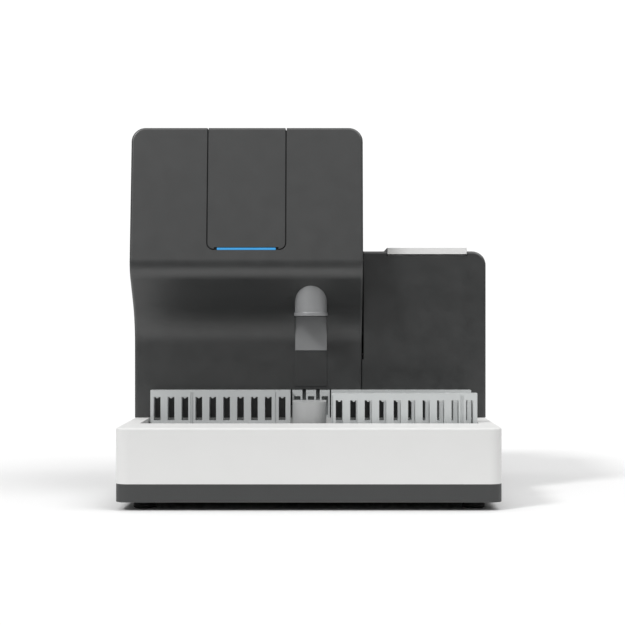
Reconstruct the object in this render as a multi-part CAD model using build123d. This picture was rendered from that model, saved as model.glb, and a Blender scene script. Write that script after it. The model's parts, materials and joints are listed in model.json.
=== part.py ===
from build123d import *
import os

# A bench-top urine analyzer. Millimetres, +Z up, +Y towards the back, and +X to the right
# of someone who stands in front of it. The origin is under the middle, at the feet.

# ---- the whole
width = 510.0
depth = 600.0
height = 525.0
wall = 3.0
seat_gap = 0.3            # between curved or stacked pieces that only rest on each other
slide_gap = 0.6           # between pieces that slide past each other
rest_gap = 0.1            # under a piece that stands loose on the tray

# ---- feet, plinth and base
foot_height = 11.0
foot_radius = 15.0
foot_sides = 20
foot_inset_x = 35.0
foot_inset_y = 45.0
plinth_height = 24.0
base_height = 73.5
base_corner = 18.0
rear_corner = 4.0
base_edge_round = 2.5
ledge_depth = 106.0
rim_width = 22.0
tray_depth = 29.0         # from the base top down to the tray floor
tray_plate = 2.5

# ---- tower and side box
panel_setback = 244.0     # from the base front to the lower panel
tower_width = 330.4
top_corner = 20.0
slope_start = 247.1       # height where the slope's line meets the panel
nose_height = 319.3       # height where the slope's line meets the leaning face
top_overhang = 41.0
slope_blend = 85.0
nose_blend = 35.0
edge_round = 4.0
side_box_height = 350.0
slit_width = 2.2
slit_bottom = 193.0

# ---- insert cover and light bar
cover_centre = -90.0
cover_width = 110.0
cover_bottom = 351.0
cover_corner = 8.5
cover_seam = 1.7
cover_reach = 100.0       # from the panel plane back to the hinge
cover_frame_lap = 9.0
light_length = 83.2
light_height = 3.3

# ---- strip lid
lid_left = 111.5
lid_width = 116.0
lid_depth = 150.0
lid_thickness = 9.0
lid_proud = 5.0

# ---- racks
place_pitch = 20.0
rack_end = 10.75
rack_width = 21.4
rack_height = 69.5
rack_edge = 0.8
mark_width = 0.8          # the groove before the last place
mark_depth = 0.5
mark_end = 3.0
well_radius = 8.3
well_floor = 7.0
well_sides = 8
window_width = 9.2
window_bottom = 28.2      # above the rack's underside
window_height = 31.7
notch_width = 8.0         # for the lane shuttle's finger, under the rack's middle
notch_height = 5.0
left_inner_end = -28.5    # where the left rack ends beside the middle
right_inner_end = 30.4    # where the right racks start
end_clearance = 1.0       # between a rack's outer end and the tray's rim
lane_front = 222.0        # from the base front to a rack that stands in the lane
feed_front = 120.0        # from the base front to the rack that waits

# ---- probe
probe_x = 1.15
probe_reach = 11.0        # from the lower panel forward to the probe
hood_radius = 23.0
hood_bottom = 256.0
hood_top = 300.0
plate_bottom = 206.0
carriage_travel = 90.0
probe_radius = 1.2
screw_radius = 3.0
rod_radius = 3.0
running = 0.05            # radial clearance of a shaft in its bush

# ---- places that follow from the sizes above
x_left = -width / 2
x_right = width / 2
y_front = -depth / 2
y_back = depth / 2
plinth_top = foot_height + plinth_height
base_top = plinth_top + base_height
y_panel = y_front + panel_setback
x_tower = x_left + tower_width
tray_top = base_top - tray_depth
tray_front = y_front + ledge_depth
tray_left = x_left + rim_width
tray_right = x_right - rim_width
rear_thickness = 3.0
y_shell_back = y_back - rear_thickness
probe_y = y_panel - probe_reach
rack_room = tray_right - right_inner_end - 2 * rack_end - end_clearance
places = int(rack_room / place_pitch) + 1
rack_length = (places - 1) * place_pitch + 2 * rack_end
left_rack_x = left_inner_end - rack_length
right_rack_x = right_inner_end
lane_y = y_front + lane_front
feed_y = y_front + feed_front
slope_run = nose_height - slope_start
hood_x0 = probe_x - hood_radius
hood_y = y_panel - (hood_top - slope_start - hood_radius)


def block(x0, x1, y0, y1, z0, z1):
    """A box between two corners."""
    return Pos((x0 + x1) / 2, (y0 + y1) / 2, (z0 + z1) / 2) * Box(x1 - x0, y1 - y0, z1 - z0)


def rod(start, direction, radius, length):
    """A round bar that starts at a point and runs along a direction."""
    return Plane(origin=start, z_dir=direction) * extrude(Circle(radius), length)


def upright(x, y, z0, z1, radius):
    """A round bar along Z."""
    return rod((x, y, z0), (0, 0, 1), radius, z1 - z0)


def flat_rod(start, direction, across, length, sides):
    """A bar with flat sides, where across is the distance from the axis to a flat."""
    outline = RegularPolygon(across, sides, major_radius=False)
    return Plane(origin=start, z_dir=direction) * extrude(outline, length)


def plan_prism(points, radii, z0, z1):
    """A closed outline in plan, with a radius at each corner, pulled up from z0 to z1."""
    outline = FilletPolyline(*points, radius=radii, close=True)
    return Pos(0, 0, z0) * extrude(make_face(outline), z1 - z0)


def side_prism(points, radii, x0, x1):
    """A closed outline given as (y, z), pulled along X from x0 to x1."""
    outline = FilletPolyline(*points, radius=radii, close=True)
    return Plane(origin=(x0, 0, 0), x_dir=(0, 1, 0), z_dir=(1, 0, 0)) * extrude(
        make_face(outline), x1 - x0
    )


def front_prism(points, radii, y0, y1):
    """A closed outline given as (x, z), pulled along Y from y0 to y1."""
    outline = FilletPolyline(*points, radius=radii, close=True)
    return Plane(origin=(0, y1, 0), x_dir=(1, 0, 0), z_dir=(0, -1, 0)) * extrude(
        make_face(outline), y1 - y0
    )


def corners(x0, x1, y0, y1):
    return [(x0, y0), (x1, y0), (x1, y1), (x0, y1)]


def base_plan(inset, z0, z1):
    """The base's footprint, round at the front and nearly square at the back."""
    front_round = base_corner - inset
    back_round = rear_corner - inset / 2
    outline = corners(x_left + inset, x_right - inset, y_front + inset, y_back - inset)
    return plan_prism(outline, [front_round, front_round, back_round, back_round], z0, z1)


# ---- feet
def rubber_feet():
    feet = []
    for x in (x_left + foot_inset_x, x_right - foot_inset_x):
        for y in (y_front + foot_inset_y, y_back - foot_inset_y):
            feet.append(flat_rod((x, y, 0), (0, 0, 1), foot_radius, foot_height, foot_sides))
    return feet


# ---- plinth: a shallow pan with bosses that carry the chassis plate
chassis_lift = 8.0
chassis_bottom = plinth_top + chassis_lift
chassis_thickness = 3.0
chassis_top = chassis_bottom + chassis_thickness
chassis_inset = wall + 2.0
boss_radius = 7.0
boss_inset = 60.0
boss_places = [
    (x, y)
    for x in (x_left + boss_inset, x_right - boss_inset)
    for y in (y_front + boss_inset, 0.0, y_back - boss_inset)
]


def plinth_pan():
    pan = base_plan(0, foot_height, plinth_top) - base_plan(
        wall, foot_height + wall, plinth_top
    )
    for x, y in boss_places:
        pan += flat_rod(
            (x, y, foot_height + wall), (0, 0, 1), boss_radius,
            chassis_bottom - foot_height - wall, 6,
        )
    return pan


# ---- base housing: a white skirt, a front ledge, side rims and the well for the racks
well_wall = 2.5
well_bottom = tray_top - tray_plate - well_wall
deck_thickness = 4.0
deck_lip = 24.0           # deck that stays round the opening under the tower
deck_bar = 10.0           # deck between the well's back wall and that opening
rim_groove = 0.8
groove_depth = 0.6
tray_lap = 5.0


def base_housing():
    shell = base_plan(0, plinth_top, base_top)
    shell = fillet(shell.faces().sort_by(Axis.Z)[-1].outer_wire().edges(), base_edge_round)
    shell -= base_plan(wall, plinth_top, base_top - deck_thickness)
    well_back = y_panel + deck_thickness
    shell += block(
        tray_left - well_wall, tray_right + well_wall, tray_front - well_wall,
        well_back, well_bottom, base_top - deck_thickness,
    )
    shell -= block(tray_left, tray_right, tray_front, y_panel, well_bottom + well_wall, base_top)
    shell -= block(
        tray_left + tray_lap, tray_right - tray_lap, tray_front + tray_lap, y_panel - tray_lap,
        well_bottom, well_bottom + well_wall,
    )
    shell -= block(
        x_left + deck_lip, x_right - deck_lip, well_back + deck_bar, y_back - deck_lip,
        base_top - deck_thickness, base_top,
    )
    for x0, x1 in ((x_left, tray_left), (tray_right, x_right)):
        shell -= block(x0, x1, tray_front, tray_front + rim_groove, base_top - groove_depth, base_top)
    return shell


def chassis_plate():
    return base_plan(chassis_inset, chassis_bottom, chassis_top)


# ---- rack tray: a plate with slots for the pushers and a low rib each side of the centre
slot_width = 8.0
slot_inset = 40.0         # from a rack's end to the slot under it
slot_play = 2.0
feed_slots_x = [right_rack_x + slot_inset, right_rack_x + rack_length - slot_inset]
drop_slots_x = [left_rack_x + slot_inset, left_rack_x + rack_length - slot_inset]
finger_thickness = 4.0
feed_travel = lane_y - (feed_y + rack_width) - slide_gap
drop_travel = lane_y - tray_front - slide_gap * 2
lane_travel = right_rack_x - (left_rack_x + rack_length) - slide_gap
tray_z0 = tray_top - tray_plate
rib_height = 6.0
rib_width = 2.0
rib_clearance = 1.0
rib_end = 4.0             # from a rib's back end to the lane
lane_centre = lane_y + rack_width / 2
shuttle_x = right_rack_x + rack_length / 2
shuttle_half = notch_width / 2 - slide_gap / 2


def rack_tray():
    gap = seat_gap
    plate = block(
        tray_left + gap, tray_right - gap, tray_front + gap, y_panel - gap, tray_z0, tray_top
    )
    for x in feed_slots_x:
        plate -= block(
            x - slot_width / 2, x + slot_width / 2,
            feed_y - finger_thickness - slot_play, feed_y + feed_travel + slot_play,
            tray_z0, tray_top,
        )
    plate -= block(
        shuttle_x - lane_travel - shuttle_half - slot_play, shuttle_x + shuttle_half + slot_play,
        lane_centre - slot_width / 2, lane_centre + slot_width / 2, tray_z0, tray_top,
    )
    for x, side in ((left_inner_end, 1), (right_inner_end, -1)):
        x0 = x + side * rib_clearance
        x1 = x0 + side * rib_width
        plate += block(
            min(x0, x1), max(x0, x1), tray_front + slot_play, lane_y - rib_end,
            tray_top, tray_top + rib_height,
        )
    return plate


# ---- tube racks
def rack(x0, y0):
    """A ten-place rack whose left end is at x0 and whose front is at y0."""
    z0 = tray_top + rest_gap
    z1 = z0 + rack_height
    body = block(x0, x0 + rack_length, y0, y0 + rack_width, z0, z1)
    body = chamfer(body.edges().filter_by(Axis.Z), rack_edge)
    middle = y0 + rack_width / 2
    for i in range(places):
        x = x0 + rack_end + i * place_pitch
        well_z0 = z0 + well_floor
        body -= flat_rod(
            (x, middle, well_z0), (0, 0, 1), well_radius, z1 - well_z0, well_sides
        )
        window_z0 = z0 + window_bottom
        body -= block(
            x - window_width / 2, x + window_width / 2,
            y0, y0 + rack_width, window_z0, window_z0 + window_height,
        )
    notch_x = x0 + rack_length / 2
    body -= block(
        notch_x - notch_width / 2, notch_x + notch_width / 2, y0, y0 + rack_width,
        z0, z0 + notch_height,
    )
    groove_x = x0 + rack_end + (places - 1.5) * place_pitch
    body -= block(
        groove_x - mark_width / 2, groove_x + mark_width / 2, y0, y0 + mark_depth,
        z0, z1 - mark_end,
    )
    return body


# ---- tower
overlap = 5.0             # how far a hollow runs past the open end that it leaves
turn_share = 0.4142       # how far an inset moves a corner of a 45 degree turn
nose_share = 0.5          # and the nose's corner


def tower_outline(inset):
    """The tower's side view as (y, z) corners with their radii."""
    lean = (slope_run - top_overhang) / (height - nose_height)
    beyond = overlap if inset else 0
    top = height - inset
    points = [
        (y_panel + inset, base_top - beyond),
        (y_panel + inset, slope_start + inset * turn_share),
        (y_panel - slope_run + inset, nose_height + inset * nose_share),
        (y_panel - top_overhang + inset - inset * lean, top),
        (y_shell_back + beyond, top),
        (y_shell_back + beyond, base_top - beyond),
    ]
    radii = [0, slope_blend - inset, nose_blend - inset, 0, 0, 0]
    return points, radii


def tower_form(inset):
    """The tower's block, with all of its faces moved in by inset."""
    points, radii = tower_outline(inset)
    form = side_prism(points, radii, x_left + inset, x_tower - inset)
    front_view = front_prism(
        [
            (x_left + inset, base_top - 2 * overlap),
            (x_tower - inset, base_top - 2 * overlap),
            (x_tower - inset, height - inset),
            (x_left + inset, height - inset),
        ],
        [0, 0, top_corner - inset, top_corner - inset],
        y_front,
        y_back + 2 * overlap,
    )
    return form & front_view


def cover_window(grow):
    """The cover's outline seen from the front, grown on every side."""
    x0 = cover_centre - cover_width / 2 - grow
    x1 = cover_centre + cover_width / 2 + grow
    low = max(cover_corner + grow, 1.0)
    return front_prism(
        [(x0, cover_bottom - grow), (x1, cover_bottom - grow),
         (x1, height + overlap), (x0, height + overlap)],
        [low, low, 0, 0],
        y_front,
        y_panel + cover_reach + hinge_radius + grow,
    )


hinge_y = y_panel + cover_reach
hinge_radius = 2.5
hinge_z = height - hinge_radius
hinge_pin_radius = 1.2
probe_passage_x = 15.0
passage_front = 12.0      # from the hood's axis forward
passage_lift = 2.0        # the passage starts this far above the hood's rim
finger_passage = 16.0     # height of each slot for the output pusher's fingers
finger_play = 3.0
side_opening = 20.0       # wall that stays round the opening to the side box
outer_tower = tower_form(0)
top_front_edges = (
    outer_tower.edges()
    .filter_by_position(Axis.Y, y_panel - top_overhang - 1, y_panel - top_overhang + 1)
    .filter_by(Axis.X)
)
outer_tower = fillet(top_front_edges, edge_round)
inner_tower = tower_form(wall)


def tower_shell():
    shell = outer_tower - inner_tower
    shell -= cover_window(cover_seam)
    shell -= block(
        probe_x - probe_passage_x, probe_x + probe_passage_x,
        hood_y - passage_front, y_panel + wall, hood_bottom + passage_lift, hood_top,
    )
    shell -= block(
        hood_x0 - seat_gap, probe_x + hood_radius + seat_gap,
        y_panel - 2 * hood_radius, y_panel, plate_bottom - seat_gap,
        hood_bottom + passage_lift,
    )
    shell -= block(
        probe_x - niche_half, probe_x + niche_half,
        y_panel, y_panel + wall, base_top, base_top + niche_height,
    )
    for x in drop_slots_x:
        shell -= block(
            x - slot_width / 2, x + slot_width / 2,
            y_panel, y_panel + wall, drop_z - finger_play,
            drop_z - finger_play + finger_passage,
        )
    shell -= block(
        x_tower - wall, x_tower, y_panel + side_opening, y_shell_back - side_opening,
        base_top, side_box_height - side_opening,
    )
    return shell


# ---- insert cover, its frame, its hinge and the light bar
ear_length = 6.0
ear_drop = 4.0            # ear below the shell's inside
barrel_half = 40.0
ear_gap = 0.4
barrel_room = 0.7         # free round a hinge barrel
light_room = 4.0          # free at each end of the light bar
light_gap = 0.6
light_inset = 0.5
frame_thickness = 2.2
frame_well = 10.0


def access_cover():
    skin = (outer_tower - inner_tower) & cover_window(0)
    skin -= block(x_left, x_tower, hinge_y - hinge_radius - barrel_room, y_back, base_top, height)
    barrel_x = cover_centre - barrel_half
    skin += rod((barrel_x, hinge_y, hinge_z), (1, 0, 0), hinge_radius, 2 * barrel_half)
    skin += block(
        barrel_x, barrel_x + 2 * barrel_half,
        hinge_y - hinge_radius - barrel_room, hinge_y, height - wall, height,
    )
    skin -= rod(
        (barrel_x, hinge_y, hinge_z), (1, 0, 0), hinge_pin_radius + running, 2 * barrel_half
    )
    bar_x = cover_centre - light_length / 2
    skin -= block(
        bar_x - light_room, bar_x + light_length + light_room, y_front, y_panel,
        cover_bottom - light_height, cover_bottom + light_height / 2 + light_gap,
    )
    return skin


def cover_frame():
    ring = tower_form(wall + seat_gap) - tower_form(wall + seat_gap + frame_thickness)
    ring = ring & cover_window(cover_seam + cover_frame_lap)
    ring -= cover_window(-cover_frame_lap)
    free_half = barrel_half + ear_gap
    free_radius = hinge_radius + barrel_room + seat_gap
    ring -= block(
        cover_centre - free_half, cover_centre + free_half,
        hinge_y - free_radius, hinge_y + free_radius, height - frame_well, height,
    )
    for side in (-1, 1):
        near = cover_centre + side * (barrel_half + ear_gap)
        far = near + side * ear_length
        x0, x1 = min(near, far), max(near, far)
        ring += block(
            x0, x1, hinge_y - hinge_radius, hinge_y + hinge_radius,
            height - wall - ear_drop, hinge_z,
        )
        ring += flat_rod((x0, hinge_y, hinge_z), (1, 0, 0), hinge_radius, x1 - x0, 8)
        ring -= rod((x0, hinge_y, hinge_z), (1, 0, 0), hinge_pin_radius, x1 - x0)
    return ring


def cover_hinge_pin():
    reach = barrel_half + ear_gap + ear_length
    return rod(
        (cover_centre - reach, hinge_y, hinge_z), (1, 0, 0), hinge_pin_radius, 2 * reach
    )


def light_bar():
    bar_x = cover_centre - light_length / 2
    zone = block(
        bar_x, bar_x + light_length, y_front, y_panel,
        cover_bottom - light_height / 2, cover_bottom + light_height / 2,
    )
    return (tower_form(light_inset) - tower_form(wall)) & zone


# ---- side box
def side_box_form(inset):
    beyond = overlap if inset else 0
    z0 = base_top - beyond
    left = x_tower - beyond
    return front_prism(
        [(left, z0), (x_right - inset, z0), (x_right - inset, side_box_height - inset),
         (left, side_box_height - inset)],
        [0, 0, top_corner - inset, 0],
        y_panel + inset,
        y_shell_back + beyond,
    )


lid_bottom = side_box_height + lid_proud - lid_thickness
lid_back = y_panel + lid_depth
lid_right = lid_left + lid_width
lid_hinge_radius = 3.4
lid_hinge_y = lid_back - lid_hinge_radius
lid_hinge_z = side_box_height + lid_proud - lid_hinge_radius
lid_pin_radius = 1.5
lid_ear = 6.0
lid_pocket = 0.5          # free round the lid
lid_corner = 1.5
lid_rim = 8.0             # solid edge of the lid in front of its hinge
flange = 2.0
hopper_ledge = lid_bottom - seat_gap - flange
hopper_lap = 9.0


def side_box_shell():
    shell = side_box_form(0)
    top_front = shell.edges().filter_by_position(
        Axis.Y, y_panel - 0.1, y_panel + 0.1
    ).filter_by_position(Axis.Z, side_box_height - top_corner + 0.1, side_box_height + 1)
    shell = fillet(top_front, edge_round)
    shell -= side_box_form(wall)
    pocket = lid_pocket
    shell += block(
        lid_left - pocket - wall, lid_right + pocket + wall, y_panel + wall,
        lid_back + pocket + wall, hopper_ledge - wall, side_box_height - wall,
    )
    shell -= block(
        lid_left - pocket, lid_right + pocket, y_panel, lid_back + pocket,
        hopper_ledge, side_box_height + 1,
    )
    shell -= block(
        lid_left + hopper_lap, lid_right - hopper_lap, y_panel + hopper_lap * 2,
        lid_back - hopper_lap * 2, hopper_ledge - wall, hopper_ledge,
    )
    for x0 in (lid_left + lid_pocket, lid_right - lid_pocket - lid_ear):
        shell += block(
            x0, x0 + lid_ear, lid_hinge_y - lid_hinge_radius, lid_hinge_y + lid_hinge_radius,
            hopper_ledge, lid_hinge_z,
        )
        shell += flat_rod(
            (x0, lid_hinge_y, lid_hinge_z), (1, 0, 0), lid_hinge_radius, lid_ear, 8
        )
        shell -= rod((x0, lid_hinge_y, lid_hinge_z), (1, 0, 0), lid_pin_radius, lid_ear)
    shell -= block(
        x_tower, x_tower + slit_width, y_panel, y_panel + wall, slit_bottom, side_box_height
    )
    return shell


def strip_lid():
    top = side_box_height + lid_proud
    ear_zone = lid_pocket + lid_ear + ear_gap
    lid = block(lid_left, lid_right, y_panel, lid_hinge_y - lid_pocket, lid_bottom, top)
    lid = fillet(lid.edges().filter_by(Axis.Z).sort_by(Axis.Y)[:2], lid_corner)
    lid -= block(
        lid_left + wall, lid_right - wall, y_panel + wall, lid_hinge_y - lid_rim,
        lid_bottom, top - wall,
    )
    for x0, x1 in ((lid_left, lid_left + ear_zone), (lid_right - ear_zone, lid_right)):
        lid -= block(
            x0, x1, lid_hinge_y - lid_hinge_radius - slide_gap, lid_back, lid_bottom, top
        )
    barrel_x = lid_left + ear_zone
    barrel = lid_width - 2 * ear_zone
    lid += rod((barrel_x, lid_hinge_y, lid_hinge_z), (1, 0, 0), lid_hinge_radius, barrel)
    lid -= rod((barrel_x, lid_hinge_y, lid_hinge_z), (1, 0, 0), lid_pin_radius + running, barrel)
    return lid


def lid_hinge_pin():
    return rod(
        (lid_left + lid_pocket, lid_hinge_y, lid_hinge_z), (1, 0, 0),
        lid_pin_radius, lid_width - 2 * lid_pocket,
    )


# ---- strip hopper and its drum
drum_radius = 28.0
drum_y = y_panel + 76.0
rail_top = base_top + 91.5
drum_z = rail_top + 62.0
drum_gap = 1.5
drum_end_gap = 1.0
drum_groove = 6.0
groove_turns = (0, 90, 180, 270)
hopper_wall = 2.5
shaft_radius = 4.0
shaft_out = 8.0           # shaft that shows at the motor's end
shoulder_rise = 30.0      # from the drum's axis up to where the hopper is full size
trough_sides = 20
strip_slot = 4.0          # half the width of the slot that lets a strip fall
hopper_left = lid_left + hopper_lap + seat_gap
hopper_right = lid_right - hopper_lap - seat_gap
hopper_front = y_panel + hopper_lap * 2 + seat_gap
hopper_back = lid_back - hopper_lap * 2 - seat_gap


def hopper_form(inset, top):
    """The hopper's block: straight above, drawn in to a round trough below."""
    trough = drum_radius + drum_gap + hopper_wall - inset
    reach = hopper_right - hopper_left - 2 * inset
    upper = block(
        hopper_left + inset, hopper_right - inset, hopper_front + inset, hopper_back - inset,
        drum_z, top,
    )
    lower = flat_rod(
        (hopper_left + inset, drum_y, drum_z), (1, 0, 0), trough, reach, trough_sides
    )
    shoulder = drum_z + shoulder_rise
    funnel = side_prism(
        [
            (drum_y - trough, drum_z), (drum_y + trough, drum_z),
            (hopper_back - inset, shoulder), (hopper_back - inset, top),
            (hopper_front + inset, top), (hopper_front + inset, shoulder),
        ],
        0, hopper_left + inset, hopper_right - inset,
    )
    return (upper & funnel) + lower


def strip_hopper():
    top = hopper_ledge + flange
    bin_ = hopper_form(0, top) - hopper_form(hopper_wall, top)
    rim = block(
        lid_left + rib_clearance, lid_right - rib_clearance,
        y_panel + wall + rib_clearance, lid_hinge_y - lid_rim, hopper_ledge, top,
    )
    rim -= block(
        hopper_left + hopper_wall, hopper_right - hopper_wall,
        hopper_front + hopper_wall, hopper_back - hopper_wall, hopper_ledge, top,
    )
    bin_ += rim
    bin_ -= rod(
        (hopper_left, drum_y, drum_z), (1, 0, 0), shaft_radius + running,
        hopper_right - hopper_left,
    )
    bin_ -= block(
        hopper_left + 2 * hopper_wall, hopper_right - 2 * hopper_wall,
        drum_y - strip_slot, drum_y + strip_slot,
        drum_z - drum_radius - 2 * overlap, drum_z - drum_radius + overlap,
    )
    return bin_


def strip_drum():
    x0 = hopper_left + hopper_wall + drum_end_gap
    x1 = hopper_right - hopper_wall - drum_end_gap
    drum = flat_rod((x0, drum_y, drum_z), (1, 0, 0), drum_radius, x1 - x0, trough_sides)
    for turn in groove_turns:
        groove = block(
            x0, x1, -drum_groove / 2, drum_groove / 2,
            drum_radius - drum_groove / 2, drum_radius + drum_groove,
        )
        drum -= Pos(0, drum_y, drum_z) * Rot(turn, 0, 0) * groove
    drum += rod(
        (hopper_left - shaft_out, drum_y, drum_z), (1, 0, 0), shaft_radius,
        hopper_right - hopper_left + 1.5 * shaft_out,
    )
    return drum


motor_half = 17.0
motor_edge = 3.0
drum_motor_length = 26.0
bracket_sheet = 3.0
bracket_foot = 7.0


def drum_motor():
    x1 = hopper_left - shaft_out - seat_gap
    y0, y1 = drum_y - motor_half, drum_y + motor_half
    motor = block(
        x1 - drum_motor_length, x1, y0, y1, drum_z - motor_half, drum_z + motor_half
    )
    motor = chamfer(motor.edges().filter_by(Axis.X), motor_edge)
    top = hopper_ledge - wall
    motor += block(x1 - bracket_sheet, x1, y0, y1, drum_z + motor_half, top)
    return motor + block(
        x1 - bracket_sheet, x1 + bracket_foot, y0, y1, top - flange, top
    )


# ---- strip rails, pusher, optical head and used-strip bin
rail_front_y = y_panel + 52.0
rail_back_y = y_panel + 108.0
rail_width = 8.0
rail_height = 6.0
cross_height = 8.0
rail_left = cover_centre - 42.0
rail_right = lid_right - 12.5
leg_half = 3.0
leg_x = (rail_left + 12.0, lid_left - 11.5, rail_right - 10.0)


def strip_rails():
    rails = None
    y0, y1 = rail_front_y - rail_width / 2, rail_back_y + rail_width / 2
    under = rail_top - rail_height
    for y in (rail_front_y, rail_back_y):
        rail = block(
            rail_left, rail_right, y - rail_width / 2, y + rail_width / 2, under, rail_top
        )
        rails = rail if rails is None else rails + rail
    for x in leg_x:
        rails += block(x - leg_half, x + leg_half, y0, y1, under - cross_height, under)
        for y in (rail_front_y, rail_back_y):
            rails += block(
                x - leg_half, x + leg_half, y - rail_width / 2, y + rail_width / 2,
                chassis_top, under,
            )
    return rails


pusher_width = 8.0
pusher_lift = 6.0
tongue_half = 14.0
tongue_drop = 4.0


def strip_pusher():
    x1 = leg_x[2]
    x0 = x1 - pusher_width
    middle = (rail_front_y + rail_back_y) / 2
    bridge = block(
        x0, x1, rail_front_y - rail_width / 2, rail_back_y + rail_width / 2,
        rail_top + seat_gap, rail_top + pusher_lift,
    )
    return bridge + block(
        x0, x1, middle - tongue_half, middle + tongue_half,
        rail_top - tongue_drop, rail_top + pusher_lift,
    )


head_left = rail_left + 14.0
head_right = head_left + 62.0
head_lift = 12.0
head_height = 46.0
head_edge = 6.0
head_front = 2.0          # from the front rail's middle
head_back = 14.0          # beyond the back rail's middle
window_inset = 8.0
window_side = 10.0
window_rise = 30.0
arm_low = 32.0
arm_thick = 8.0
arm_front = 22.0          # from the lower panel


def optical_head():
    z0 = rail_top + head_lift
    y0, y1 = rail_front_y + head_front, rail_back_y + head_back
    head = block(head_left, head_right, y0, y1, z0, z0 + head_height)
    head = chamfer(head.edges().filter_by(Axis.Z), head_edge)
    head -= block(
        head_left + window_inset, head_right - window_inset, y0 + window_side,
        y1 - window_side, z0, z0 + window_rise,
    )
    return head + block(
        head_right - 1, gantry_x - gantry_thickness, y_panel + arm_front, rail_back_y,
        z0 + arm_low, z0 + arm_low + arm_thick,
    )


bin_left = x_left + wall + 4
bin_right = rail_left - 2
bin_bottom = rail_top - 62.0
bin_top = rail_top - 14.0
bin_lap = 20.0
bin_wall = 2.0
stand_plate = 3.0
stand_leg = 6.0
stand_inset = 10.0


def waste_bin():
    y0, y1 = rail_front_y - bin_lap, rail_back_y + bin_lap
    bin_ = block(bin_left, bin_right, y0, y1, bin_bottom, bin_top)
    return bin_ - block(
        bin_left + bin_wall, bin_right - bin_wall, y0 + bin_wall, y1 - bin_wall,
        bin_bottom + bin_wall, bin_top,
    )


def bin_stand():
    z1 = bin_bottom - seat_gap
    z0 = z1 - stand_plate
    y0, y1 = rail_front_y - bin_lap + bin_wall, rail_back_y + bin_lap - bin_wall
    stand = block(bin_left + bin_wall, bin_right - bin_wall, y0, y1, z0, z1)
    for x in (bin_left + deck_lip, bin_right - stand_inset):
        for y in (y0, y1 - stand_leg):
            stand += block(x, x + stand_leg, y, y + stand_leg, chassis_top, z0)
    return stand


# ---- gantry that carries the probe
gantry_thickness = 4.0
gantry_x = probe_x - 41.15
bar_y_radius = 4.0
bar_x = gantry_x + 18.0
bar_z = (height - 125.0, height - 70.0)
gantry_front = y_panel + 20.0
gantry_back = y_panel + 206.0
gantry_neck = y_panel - 34.0
gantry_window = (y_panel + 36.0, gantry_back - 25.0)
gantry_foot = 20.0
travel_z = (bar_z[0] + bar_z[1]) / 2
carriage_y0 = probe_y - 18.0
carriage_y1 = probe_y + 23.0
upright_x = gantry_x + 30.0
lift_bottom = 290.0
lift_top = height - 51.0
neck_rise = 40.0
arm_height = 14.0
guide_y = probe_y + 18.0
screw_y = probe_y + 9.0
travel_back = carriage_y1 + carriage_travel + 12
lug = 5.0                 # thickness of the lugs that hold the bars
lug_half = 7.0
bore_sides = 8
window_low = chassis_top + 84.0
window_high = height - 165.0
frame_plate = 4.0
screw_end = 5.0


def gantry_plate():
    plate = side_prism(
        [
            (gantry_front, chassis_top), (gantry_back, chassis_top), (gantry_back, lift_top),
            (gantry_neck, lift_top), (gantry_neck, lift_bottom + neck_rise),
            (gantry_front, lift_bottom),
        ],
        0,
        gantry_x - gantry_thickness, gantry_x,
    )
    plate -= block(
        gantry_x - gantry_thickness, gantry_x, gantry_window[0], gantry_window[1],
        window_low, window_high,
    )
    plate += block(
        gantry_x, gantry_x + gantry_foot, gantry_front, gantry_back,
        chassis_top, chassis_top + frame_plate,
    )
    for y0 in (gantry_neck, travel_back):
        for z in bar_z:
            plate += block(gantry_x, bar_x + lug_half, y0, y0 + lug, z - lug_half, z + lug_half)
            plate -= flat_rod((bar_x, y0, z), (0, 1, 0), bar_y_radius, lug, bore_sides)
        plate += block(
            gantry_x, bar_x + lug_half, y0, y0 + lug, travel_z - lug_half, travel_z + lug_half
        )
        plate -= flat_rod(
            (bar_x, y0, travel_z), (0, 1, 0), screw_radius + running, lug, bore_sides
        )
    return plate


def travel_rods():
    length = travel_back + lug - gantry_neck
    return [rod((bar_x, gantry_neck, z), (0, 1, 0), bar_y_radius, length) for z in bar_z]


def travel_screw():
    length = travel_back + lug + screw_end - gantry_neck
    return rod((bar_x, gantry_neck, travel_z), (0, 1, 0), screw_radius, length)


motor_length = 30.0
motor_foot = 12.0         # half the height of the travel motor's bracket
lift_motor_half = 14.0


def travel_motor():
    y0 = travel_back + lug + screw_end + seat_gap
    y1 = y0 + motor_length
    motor = block(
        bar_x - motor_half, bar_x + motor_half, y0, y1,
        travel_z - motor_half, travel_z + motor_half,
    )
    motor = chamfer(motor.edges().filter_by(Axis.Y), motor_edge)
    return motor + block(
        gantry_x, bar_x - motor_half, y0, y1, travel_z - motor_foot, travel_z + motor_foot
    )


carriage_wall = 12.0      # from a bar's axis to the carriage's outside
bracket_x = upright_x - 2.0
bracket_reach = 9.0       # beyond the probe's axis
lift_screw_out = 3.0      # lift screw above its bracket


def probe_carriage():
    body = block(
        bar_x - carriage_wall, bracket_x, carriage_y0, carriage_y1,
        bar_z[0] - carriage_wall, bar_z[1] + carriage_wall,
    )
    length = carriage_y1 - carriage_y0
    for z, radius in (
        (bar_z[0], bar_y_radius), (bar_z[1], bar_y_radius), (travel_z, screw_radius)
    ):
        body -= flat_rod(
            (bar_x, carriage_y0, z), (0, 1, 0), radius + running, length, bore_sides
        )
    return body


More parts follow.
